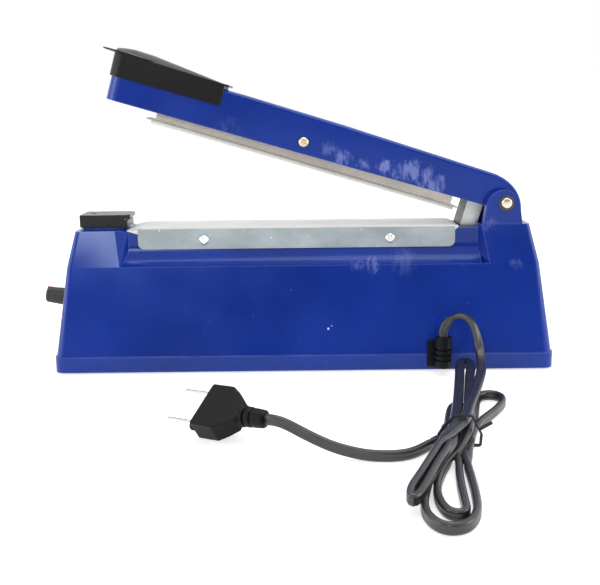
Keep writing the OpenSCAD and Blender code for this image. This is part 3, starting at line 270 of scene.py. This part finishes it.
def blue_plastic(name, scuffs, marks, mark_color):
    """Glossy blue moulding with faint flow marks, scratches, rubbed places and a painted highlight along its
    edges.
    """
    n = new_material(name)
    streaks = n.ramp(n.noise(150.0, 4.0, 0.6, (2.2, 1.0, 0.7)), 0.38, 0.53)
    ragged = n.ramp(n.noise(230.0, 4.0, 0.7, (1.6, 1.0, 0.8)), 0.32, 0.68, -RIM_RAGGED, RIM_RAGGED)
    worn = 0.0
    for point, radius, soft, strength in scuffs:
        here = n.math("MULTIPLY", n.near(point, radius, soft, ragged), strength)
        worn = n.math("MAXIMUM", worn, here)
    worn = n.math("MULTIPLY", worn, streaks)
    specks = n.ramp(n.noise(420.0, 1.0, 0.4), 0.785, 0.82, 0.0, 0.4)
    # painted highlight: a paler blue, in patches, where the surface turns at the edges
    edge_highlight = n.math("MULTIPLY", n.ramp(n.edges(EDGE_HIGHLIGHT_REACH), 0.004, 0.05),
                    n.ramp(n.noise(90.0), 0.3, 0.6, 0.35, 0.75))
    color = n.blend(n.math("MAXIMUM", worn, specks), varied(n, BLUE, 0.14, 16.0), BLUE_WORN)
    color = n.blend(edge_highlight, color, BLUE_EDGE_HIGHLIGHT)
    # marks of one colour: white spots on the housing, painted shade round the screw head on the arm
    for point, radius, soft in marks:
        color = n.blend(n.near(point, radius, soft), color, mark_color)
    rough = n.math("ADD", rough_range(n, 0.19, 0.04, 30.0), n.math("MULTIPLY", worn, 0.15))
    ripple = n.bump(n.noise(28.0, 2.0, 0.5), 0.10, 0.6)
    principled(n, color, rough, n.bump(n.noise(600.0, 3.0, 0.6), 0.05, 0.05, ripple), IOR=1.46,
               Specular_IOR_Level=0.50, Specular_Tint=BLUE_SHEEN)


def plastic(name, color, rough, grain=0.0, grain_size=0.0, **more):
    """Plain moulding; grain is the strength of its texture and grain_size its size in mm."""
    n = new_material(name)
    if grain:
        normal = n.bump(n.noise(1000.0 / grain_size, 2.0, 0.5), grain, 0.12)
    else:
        normal = n.bump(n.noise(120.0), 0.10, 0.15)
    principled(n, varied(n, color, 0.10, 45.0), rough_range(n, rough, 0.05), normal, **more)


def metal(name, color, rough, brush=(30.0, 30.0, 30.0)):
    """Plain metal; brush is the fineness of its streaks along X, Y and Z."""
    n = new_material(name)
    streaks = n.noise(60.0, 4.0, 0.65, brush)
    principled(n, varied(n, color, 0.08, 70.0), n.ramp(streaks, 0.3, 0.7, rough - 0.08, rough + 0.08),
               n.bump(streaks, 0.12, 0.05), metallic=1.0)


def rubber(name, color, rough, spec=0.38):
    """Dusty rubber or soft PVC."""
    n = new_material(name)
    principled(n, varied(n, color, 0.15, 90.0), rough_range(n, rough, 0.07, 120.0),
               n.bump(n.noise(900.0, 3.0, 0.6), 0.12, 0.05), Specular_IOR_Level=spec)


def stained_zinc(name, color, rough, brush, stain=0.25, shade_minus_x=False):
    """Zinc-plated sheet with cloudy stains, rolling lines and small marks; the last argument paints shade on
    what faces -X.
    """
    n = new_material(name)
    clouds = n.ramp(n.noise(38.0, 5.0, 0.65, (1.0, 1.0, 1.6)), 0.38, 0.68)
    lines = n.noise(70.0, 3.0, 0.7, brush)
    marks = n.ramp(n.noise(260.0, 2.0, 0.5), 0.70, 0.76, 0.0, 0.55)
    tint = n.blend(clouds, scaled(color, 1.0 - stain), color)
    tint = n.blend(n.ramp(lines, 0.35, 0.65, 0.0, 0.25), tint, scaled(color, 0.75))
    tint = n.blend(marks, tint, ZINC_MARK)
    if shade_minus_x:
        # painted shade: darker where the surface faces -X
        facing = n.add("ShaderNodeSeparateXYZ", {0: n.normal()}).outputs["X"]
        tint = n.blend(n.ramp(facing, -0.35, -0.75), tint, ZINC_PAINTED_SHADE)
    rough_value = n.math("ADD", n.ramp(clouds, 0.0, 1.0, rough + 0.08, rough - 0.06),
                         n.ramp(lines, 0.3, 0.7, -0.05, 0.05))
    principled(n, tint, rough_value, n.bump(lines, 0.10, 0.05), metallic=0.9)


def woven_cloth(name, color, rough, thread=0.45):
    """Coated glass cloth: a fine plain weave under a smooth coat; thread in mm."""
    n = new_material(name)
    across, along = (n.add("ShaderNodeTexWave", {"Vector": n.coords(), "Distortion": 0.4, "Detail": 1.0,
                                                 "Scale": 1000.0 / thread / math.tau},
                           wave_type="BANDS", bands_direction=axis).outputs["Fac"] for axis in "XY")
    weave = n.math("MULTIPLY", across, along)
    tint = n.blend(n.ramp(weave, 0.0, 1.0, 0.0, 0.35), varied(n, color, 0.05, 40.0), scaled(color, 0.86))
    principled(n, tint, rough_range(n, rough, 0.05), n.bump(weave, 0.12, 0.05))


def silicone(name, color, rough):
    n = new_material(name)
    principled(n, varied(n, color, 0.04, 60.0), rough_range(n, rough, 0.06),
               n.bump(n.noise(500.0), 0.06, 0.05), IOR=1.41)


# places rubbed pale: (middle, radius, soft rim, strength), in mm
HOUSING_SCUFFS = [((41.5, -31.5, 67.6), 1.5, 3.5, 0.35), ((51.0, -31.5, 67.4), 2.4, 3.0, 0.50),
                  ((70.5, -31.5, 69.5), 3.0, 6.5, 0.22), ((142.0, -31.0, 68.0), 1.5, 3.0, 0.35),
                  ((124.9, -28.0, 91.8), 1.5, 3.0, 0.30)]
ARM_SCUFFS = [((24.5, -17.0, 139.0), 2.0, 4.0, 0.40), ((32.0, -17.0, 133.5), 3.5, 4.0, 0.70),
              ((45.5, -17.0, 129.5), 1.5, 3.0, 0.60), ((59.5, -17.0, 128.8), 2.5, 2.5, 0.85),
              ((68.0, -17.0, 124.6), 3.0, 3.5, 0.70), ((76.5, -17.0, 125.6), 4.0, 3.5, 0.80),
              ((85.0, -17.0, 121.0), 4.0, 3.5, 0.80), ((92.0, -17.0, 116.8), 3.5, 3.5, 0.75),
              ((-40.0, -17.0, 152.0), 2.0, 8.0, 0.15)]
# small white spots, and a disc of painted shade round the arm screw: (middle, radius, soft rim), in mm
WHITE_SPOTS = [((22.1, -38.0, 27.5), 0.65, 0.25), ((24.3, -38.0, 29.3), 0.45, 0.2)]
SCREW_RING_SHADE = [((7.7, -17.0, 144.4), 3.2, 0.7)]

blue_plastic("blue_housing", HOUSING_SCUFFS, WHITE_SPOTS, SPOT_WHITE)
blue_plastic("blue_arm", ARM_SCUFFS, SCREW_RING_SHADE, SCREW_SHADE)
plastic("cover_black", (0.0050, 0.0050, 0.0058), 0.40, grain=0.9, grain_size=1.4,
        Specular_IOR_Level=0.20, Sheen_Weight=0.35, Sheen_Roughness=0.30)
plastic("cap_black", (0.006, 0.007, 0.010), 0.25, Specular_IOR_Level=0.36)
plastic("knob_black", (0.030, 0.028, 0.027), 0.38)
plastic("pointer_red", (0.46, 0.045, 0.040), 0.42)
plastic("lamp_red", (0.55, 0.02, 0.015), 0.20, Coat_Weight=0.5)
plastic("board_green", (0.02, 0.13, 0.05), 0.30)
plastic("switch_grey", (0.03, 0.03, 0.032), 0.45)
plastic("plunger_red", (0.42, 0.03, 0.03), 0.40)
rubber("relief_black", (0.0045, 0.0050, 0.0070), 0.40, spec=0.16)
rubber("cord_black", (0.022, 0.022, 0.025), 0.32, spec=0.7)
rubber("plug_black", (0.0060, 0.0060, 0.0075), 0.42, spec=0.16)
rubber("foot_rubber", (0.020, 0.020, 0.020), 0.70)
rubber("tie_black", (0.016, 0.016, 0.016), 0.42)
stained_zinc("clamp_zinc", (0.43, 0.49, 0.52), 0.36, (1.0, 1.0, 30.0))
# the bracket's faces towards -X get painted shade
stained_zinc("bracket_zinc", (0.60, 0.61, 0.60), 0.38, (1.0, 1.0, 12.0), stain=0.15, shade_minus_x=True)
stained_zinc("plate_zinc", (0.45, 0.46, 0.47), 0.42, (20.0, 1.0, 1.0), stain=0.12)
# dark brownish colour: a painted reflection of something dark beside the bar
metal("bar_aluminium", (0.46, 0.43, 0.39), 0.30, brush=(2.0, 30.0, 30.0))
metal("platform_aluminium", (0.93, 0.93, 0.92), 0.38, brush=(2.0, 30.0, 30.0))
metal("screw_zinc", (0.82, 0.83, 0.82), 0.26)
metal("screw_yellow", (0.74, 0.64, 0.46), 0.28)
metal("steel_bright", (0.76, 0.72, 0.62), 0.24)
metal("washer_dark", (0.10, 0.09, 0.085), 0.45)
metal("spring_steel", (0.62, 0.62, 0.63), 0.28)
metal("pin_nickel", (0.84, 0.83, 0.80), 0.20)
metal("brass_plain", (0.80, 0.60, 0.28), 0.32)
metal("nichrome", (0.52, 0.49, 0.46), 0.42, brush=(1.0, 40.0, 40.0))
metal("core_lacquer", (0.20, 0.20, 0.22), 0.50, brush=(1.0, 60.0, 1.0))
woven_cloth("cloth_white", (0.93, 0.93, 0.90), 0.50)
woven_cloth("cloth_tan", (0.62, 0.44, 0.24), 0.55)
woven_cloth("coil_tape", (0.42, 0.25, 0.08), 0.45, thread=1.2)
silicone("silicone_white", (0.95, 0.94, 0.91), 0.40)

# ---------------------------------------------------------------- cord, in mm

CORD_W = 5.8
CORD_T = 3.6
CORD_CLEAR = 0.05                        # the lowest that its surface comes to the floor
CORD_STEP = 2.0                          # between two rings of its mesh
CORD_EASE = 5                            # passes that relax its bends
CORE_SIDES = 9                           # of the arc round one core
STEEP = 0.12                             # sine of its angle to the vertical, under which its side is kept

PLUG_AT = Vector((-46.0, -151.5, 12.8))
PLUG_TURN = (34.0, -3.0, -33.0)          # roll about its axis, pitch and heading, in degrees
PLUG_END = 39.0                          # from its face to the end of its neck
PLUG_LEAD = 9.0                          # straight piece of cord behind the neck

CORD_ROUTE = [
    # up and over from the strain relief
    (93.5, -49, 24.5), (93.5, -49, 29), (96, -50, 35), (100.5, -51, 38.5), (105, -52, 39), (109, -54, 36.5),
    (112, -57, 30), (114, -61, 20),
    # down the right of the bundle to the tie
    (113, -72, 14), (109, -91, 13), (101, -118, 12), (92, -148, 13), (84, -174, 13),
    # fold on the left
    (74, -196, 10), (62, -217, 8), (52, -234, 7), (48, -243, 6), (50, -249, 5), (54, -243, 5),
    (63, -219, 7), (73, -195, 8), (79, -174, 8.6),
    # up to the fold against the housing
    (83, -158, 9.5), (89, -130, 8), (98, -84, 9), (103, -58, 10), (106, -51, 10), (109, -57, 10),
    (104, -84, 9), (95, -130, 8), (90, -158, 9.5), (86, -174, 8.6),
    # small loop in the middle
    (80, -187, 5), (71, -202, 3), (65, -217, 2), (62, -234, 2), (62, -249, 2), (66, -258, 2),
    (71, -257, 2), (74, -245, 2), (75, -225, 2), (77, -202, 2), (82.5, -174, 4.5),
    # short fold under the bundle
    (84, -163, 5.8), (88, -145, 2.2), (92, -129, 2.2), (94, -120, 2.2), (91, -115, 2.2), (88, -120, 2.2),
    (81, -150, 2.2), (77.5, -163, 5.8), (76.5, -174, 4.5),
    # big loop at the bottom
    (71, -193, 2.5), (63, -215, 2), (58, -232, 2), (56, -246, 2), (57, -258, 2), (62, -266, 2), (70, -266, 2),
    (76, -257, 2), (80, -240, 2), (83, -218, 2), (85, -198, 2), (88.5, -174, 4.5),
    # loop on the right, which comes back under the bundle
    (91, -163, 5.8), (94.5, -146, 2.5), (100, -122, 2), (104, -107, 2), (110, -100, 2), (117, -103, 2),
    (117.5, -113, 2), (112, -125, 2), (100, -144, 2), (90, -159, 1.9), (76, -165, 1.9),
    # lead to the plug
    (63, -176, 2), (52, -187, 2), (36, -189, 2), (20, -187, 5), (6, -181, 10),
]

# points of the route that move, by their place in it, mostly where the photograph shows the cord on edge
ON_EDGE = {
    # left fold, over the big loop
    13: (72.5, -191, 11.5), 14: (63.3, -213, 10.5), 15: (56, -230, 9.3), 16: (49.2, -246, 7.8),
    17: (48.8, -254, 7), 18: (52, -250, 7.3), 19: (65.5, -217, 9.2), 20: (73.8, -197, 9.6),
    # small loop
    32: (79.6, -187, 4.6), 33: (73, -200, 3.3), 34: (67, -215, 3), 35: (62.6, -232, 3), 36: (61.9, -248, 3),
    37: (65, -258, 3), 38: (70.3, -258, 3), 39: (72, -246, 3), 40: (73.8, -226, 3), 41: (77.2, -202, 3),
    # big loop
    52: (70.8, -195, 3), 53: (62.9, -214, 3), 54: (58.3, -231, 3), 55: (55.2, -246, 3), 56: (55, -260, 3),
    57: (60.5, -270, 3), 58: (68.5, -268.5, 3), 59: (75, -257, 3), 60: (77.9, -240, 3), 61: (79.8, -218, 3),
    62: (81.5, -198, 3), 63: (87.3, -174, 4.5),
    # loop on the right
    68: (110, -100, 3), 69: (117, -103, 3), 70: (117.5, -113, 3), 71: (112, -125, 3),
    # lead
    75: (66, -180, 3), 76: (54, -191.5, 3), 77: (37, -192, 3), 78: (20, -187, 5.4),
}
TIE_AT = Vector((82.5, -174.0))
FOLD_TOP = Vector((106.0, -51.0))        # end of the upper folds, whose strands lie flat
LEAD_TO = Vector((68.0, -196.5))         # the lead is what lies left of this and behind it

# from where to where the section rolls from flat to on edge
ROLL_LOOPS = (14.0, 34.0)                # distance from the tie
ROLL_LEAD = (10.0, 18.0)                 # distance from the tie
ROLL_LEAD_X = (LEAD_TO.x + 6.0, LEAD_TO.x)
ROLL_RIGHT = (2.0, 12.0)                 # distance right of the line from the tie to FOLD_TOP
ROLL_RIGHT_Z = (7.0, 4.5)
ROLL_RELIEF_X = (99.0, 95.0)             # where the cord rises from the strain relief
ROLL_RELIEF_Z = (18.0, 23.0)


def plug_matrix():
    roll, pitch, heading = (math.radians(a) for a in PLUG_TURN)
    return (Matrix.Translation(PLUG_AT) @ Matrix.Rotation(heading, 4, "Z")
            @ Matrix.Rotation(pitch, 4, "Y") @ Matrix.Rotation(roll, 4, "X"))


def spline(points, steps):
    """Centripetal Catmull-Rom curve through all points."""
    ends = [points[0] * 2 - points[1]] + points + [points[-1] * 2 - points[-2]]
    curve = []
    for a, b, c, d in zip(ends, ends[1:], ends[2:], ends[3:]):
        t1 = (b - a).length ** 0.5
        t2 = t1 + (c - b).length ** 0.5
        t3 = t2 + (d - c).length ** 0.5
        for k in range(steps):
            t = t1 + (t2 - t1) * k / steps
            ab = a.lerp(b, t / t1)
            bc = b.lerp(c, (t - t1) / (t2 - t1))
            cd = c.lerp(d, (t - t2) / (t3 - t2))
            curve.append(ab.lerp(bc, t / t2).lerp(bc.lerp(cd, (t - t1) / (t3 - t1)), (t - t1) / (t2 - t1)))
    return curve + [points[-1]]


def eased(points, step, passes):
    """The line in even steps, with its bends relaxed; both ends keep their place and direction."""
    gaps = [(b - a).length for a, b in zip(points, points[1:])]
    count = round(sum(gaps) / step)
    even = []
    i = 0
    passed = 0.0
    for k in range(count):
        at = sum(gaps) * k / count
        while passed + gaps[i] < at:
            passed += gaps[i]
            i += 1
        even.append(points[i].lerp(points[i + 1], (at - passed) / gaps[i]))
    even.append(points[-1])
    for _ in range(passes):
        middle = [a * 0.25 + b * 0.5 + c * 0.25 for a, b, c in zip(even[2:-4], even[3:-3], even[4:-2])]
        even = even[:3] + middle + even[-3:]
    return even


def twin_section():
    """Outline of a flat twin cord: two round cores side by side."""
    r = CORD_T / 2
    off = CORD_W / 2 - r
    reach = math.acos(-off / r)
    right = [(off + r * math.cos(a), r * math.sin(a))
             for a in (reach * (2 * k / CORE_SIDES - 1) for k in range(CORE_SIDES + 1))]
    return right + [(-x, -y) for x, y in right[1:-1]]


def rolled(value, limits):
    """0 at the first limit, 1 at the second, eased between them."""
    low, high = limits
    t = min(1.0, max(0.0, (value - low) / (high - low)))
    return t * t * (3.0 - 2.0 * t)


def on_edge(point):
    """0 where the flat cord lies flat, 1 where it stands on edge."""
    plan = point.to_2d()
    from_tie = (plan - TIE_AT).length
    lead = rolled(from_tie, ROLL_LEAD) * rolled(plan.x, ROLL_LEAD_X)
    if plan.y < LEAD_TO.y:
        lead = 0.0
    if plan.y < TIE_AT.y:
        return max(lead, rolled(from_tie, ROLL_LOOPS))
    if plan.x < LEAD_TO.x:
        return lead
    right = (plan - TIE_AT).cross((FOLD_TOP - TIE_AT).normalized())
    relief = rolled(point.z, ROLL_RELIEF_Z) * rolled(plan.x, ROLL_RELIEF_X)
    return max(relief, rolled(right, ROLL_RIGHT) * rolled(point.z, ROLL_RIGHT_Z))


def swept(path, section):
    """Closed tube of a flat section along a path, which rolls from flat to on edge and back."""
    bm = bmesh.new()
    rings = []
    side = Vector((0.0, -1.0, 0.0))
    for i, point in enumerate(path):
        ahead = (path[min(i + 1, len(path) - 1)] - path[max(i - 1, 0)]).normalized()
        level = ahead.cross(Vector((0.0, 0.0, 1.0)))
        if level.length > STEEP:
            side = level.normalized()
        side = (side - ahead * side.dot(ahead)).normalized()
        across = Matrix.Rotation(math.radians(90) * on_edge(point), 3, ahead) @ side
        through = across.cross(ahead)
        ring = [point + across * x + through * y for x, y in section]
        lift = Vector((0.0, 0.0, max(0.0, CORD_CLEAR - min(corner.z for corner in ring))))
        rings.append([bm.verts.new((corner + lift) * MM) for corner in ring])
    for a, b in zip(rings, rings[1:]):
        for k in range(len(section)):
            j = (k + 1) % len(section)
            bm.faces.new((a[k], a[j], b[j], b[k]))
    bm.faces.new(rings[0])
    bm.faces.new(list(reversed(rings[-1])))
    bmesh.ops.recalc_face_normals(bm, faces=bm.faces)
    mesh = bpy.data.meshes.new("mains_cord")
    bm.to_mesh(mesh)
    bm.free()
    smooth(mesh, CORD_SHARP)
    return mesh


plug_frame = plug_matrix()
route = [Vector(ON_EDGE.get(i, point)) for i, point in enumerate(CORD_ROUTE)]
route += [plug_frame @ Vector((PLUG_END + back, 0, 0)) for back in (PLUG_LEAD, 0.0)]
cord_line = eased(spline(route, steps=8), CORD_STEP, CORD_EASE)
cord = put("mains_cord", swept(cord_line, twin_section()), "base", "power_cord",
           materials["cord_black"])

# ---------------------------------------------------------------- pieces made from the frame's nodes

# nodes that stay as they are: node and material
PLAIN = {
    "bottom_plate": "plate_zinc",
    "foot_screws": "screw_zinc",
    "insulation_strip": "cloth_tan",
    "heating_strip": "nichrome",
    "strip_terminals": "brass_plain",
    "release_cloth": "cloth_white",
    "microswitch": "switch_grey",
    "switch_plunger": "plunger_red",
    "bracket_screws": "screw_zinc",
    "return_spring": "spring_steel",
    "spring_post": "steel_bright",
    "transformer_core": "core_lacquer",
    "transformer_coil": "coil_tape",
    "transformer_screws": "screw_zinc",
    "timer_board": "board_green",
    "timer_pot": "screw_zinc",
    "timer_shaft": "platform_aluminium",
    "pot_nut": "screw_zinc",
}

# nodes replaced by a piece: node, piece, body, slot, material and rounding of the edges in mm
ROUNDED = [
    ("housing", "housing_moulding", "base", "blue_plastic", "blue_housing", 1.2),
    ("rubber_feet", "feet", "base", "rubber", "foot_rubber", 0.25),
    ("platform", "jaw_platform", "base", "aluminium", "platform_aluminium", 0.3),
    ("front_clamp_plate", "clamp_plate_front", "base", "zinc_steel", "clamp_zinc", 0.25),
    ("rear_clamp_plate", "clamp_plate_rear", "base", "zinc_steel", "clamp_zinc", 0.25),
    ("clamp_screws", "clamp_plate_screws", "base", "bright_steel", "screw_zinc", 0.18),
    ("switch_cap", "cap", "switch", "black_gloss", "cap_black", 0.45),
    ("press_arm", "arm_moulding", "arm", "blue_plastic", "blue_arm", 1.2),
    ("handle_cover", "grip_cover", "arm", "black_plastic", "cover_black", 0.5),
    ("press_bar", "bar_channel", "bar", "aluminium", "bar_aluminium", 0.2),
    ("silicone_strip", "silicone_pad", "bar", "silicone", "silicone_white", 0.5),
    ("bar_screw", "arm_screw", "arm", "yellow_zinc", "screw_yellow", 0.2),
    ("bar_nut", "arm_nut", "arm", "zinc_steel", "screw_zinc", 0.25),
    ("pivot_pin", "hinge_pin", "base", "bright_steel", "steel_bright", 0.2),
    ("pivot_washers", "hinge_washers", "base", "zinc_steel", "washer_dark", 0.12),
    ("spring_bracket", "bracket", "arm", "zinc_steel", "bracket_zinc", 0.3),
    ("timer_knob", "dial_knob", "knob", "black_plastic", "knob_black", 0.25),
    ("knob_pointer", "dial_pointer", "knob", "red_plastic", "pointer_red", 0.15),
    ("indicator_lamp", "lamp", "base", "red_plastic", "lamp_red", 0.3),
    ("strain_relief", "cord_strain_relief", "base", "rubber", "relief_black", 0.4),
    ("cord_tie", "bundle_tie", "base", "grey_plastic", "tie_black", 0.3),
    ("plug_pins", "plug_contacts", "base", "bright_steel", "pin_nickel", 0.2),
]

for node, material in PLAIN.items():
    nodes[node].material_slots[0].material = materials[material]

for node, piece, body, slot_name, material, rounding in ROUNDED:
    put(piece, bevelled(node, rounding), body, node, materials[material])

put("plug_moulding", moulded("plug_body", voxel=0.35, passes=8), "base",
                          "plug_body", materials["plug_black"])

# ---------------------------------------------------------------- floor, world and lights

FLOOR_HALF = 8.0                         # metres
FLOOR_PAINT = (0.80, 0.80, 0.80, 1.0)
FLOOR_GLOW = 0.62                        # seen besides the light that falls on it
WORLD_LIGHT = 0.62                       # strength of the light on the object
ROOM_DARK = 0.12                         # strength in reflections, low down on the -Y side
ROOM_Y = (-0.96, -0.60)                  # y of the direction, where the dark starts to fade and is gone
ROOM_Z = (0.20, 0.42)                    # and its z

corners = [(-FLOOR_HALF, -FLOOR_HALF, 0), (FLOOR_HALF, -FLOOR_HALF, 0),
           (FLOOR_HALF, FLOOR_HALF, 0), (-FLOOR_HALF, FLOOR_HALF, 0)]
floor_mesh = bpy.data.meshes.new("floor")
floor_mesh.from_pydata(corners, [], [(0, 1, 2, 3)])
floor = bpy.data.objects.new("floor", floor_mesh)
scene.collection.objects.link(floor)
n = new_material("floor_paint")
diffuse = n.add("ShaderNodeBsdfDiffuse", {"Color": FLOOR_PAINT})
glow = n.add("ShaderNodeEmission", {"Strength": n.math("MULTIPLY", n.shown(), FLOOR_GLOW)})
n.surface(n.add("ShaderNodeAddShader", {0: diffuse.outputs[0], 1: glow.outputs[0]}))
floor_mesh.materials.append(materials["floor_paint"])

# white all round, but reflections find it darker low down on the -Y side, where the room stood open
world = bpy.data.worlds.new("studio")
scene.world = world
n = Nodes(world, "ShaderNodeOutputWorld")
direction = n.add("ShaderNodeSeparateXYZ", {0: n.coords("Generated")})
dark = n.math("MULTIPLY",
              n.ramp(direction.outputs["Y"], *ROOM_Y, 1.0, 0.0, interpolation_type="SMOOTHSTEP"),
              n.ramp(direction.outputs["Z"], *ROOM_Z, 1.0, 0.0, interpolation_type="SMOOTHSTEP"))
reflected = n.ramp(dark, 0.0, 1.0, 1.0, ROOM_DARK, interpolation_type="SMOOTHSTEP")
level = n.add("ShaderNodeMix", {0: n.shown(), 2: WORLD_LIGHT, 3: reflected}).outputs[0]
seen_white = n.math("MAXIMUM", level, n.add("ShaderNodeLightPath").outputs["Is Camera Ray"])
n.surface(n.add("ShaderNodeBackground", {"Color": WHITE, "Strength": seen_white}))

# area lights: name, place, aim and size in metres, and watts
SOFTBOXES = [
    ("key", (-0.66, -2.25, 0.80), (-0.10, 0.0, 0.06), (0.50, 0.42), 6.5),
    ("top", (0.1, 0.1, 1.5), (0.0, 0.0, 0.05), (1.5, 1.1), 9.0),
    ("right", (1.4, -0.2, 0.5), (0.1, 0.0, 0.08), (0.8, 0.8), 6.0),
    ("left", (-1.5, -0.25, 0.45), (-0.1, 0.0, 0.08), (0.8, 0.8), 5.0),
]
for name, place, aim, size, power in SOFTBOXES:
    data = bpy.data.lights.new(name, "AREA")
    data.shape = "RECTANGLE"
    data.size, data.size_y = size
    data.energy = power
    softbox = bpy.data.objects.new(name, data)
    softbox.location = place
    softbox.rotation_euler = (Vector(aim) - Vector(place)).to_track_quat("-Z", "Y").to_euler()
    scene.collection.objects.link(softbox)
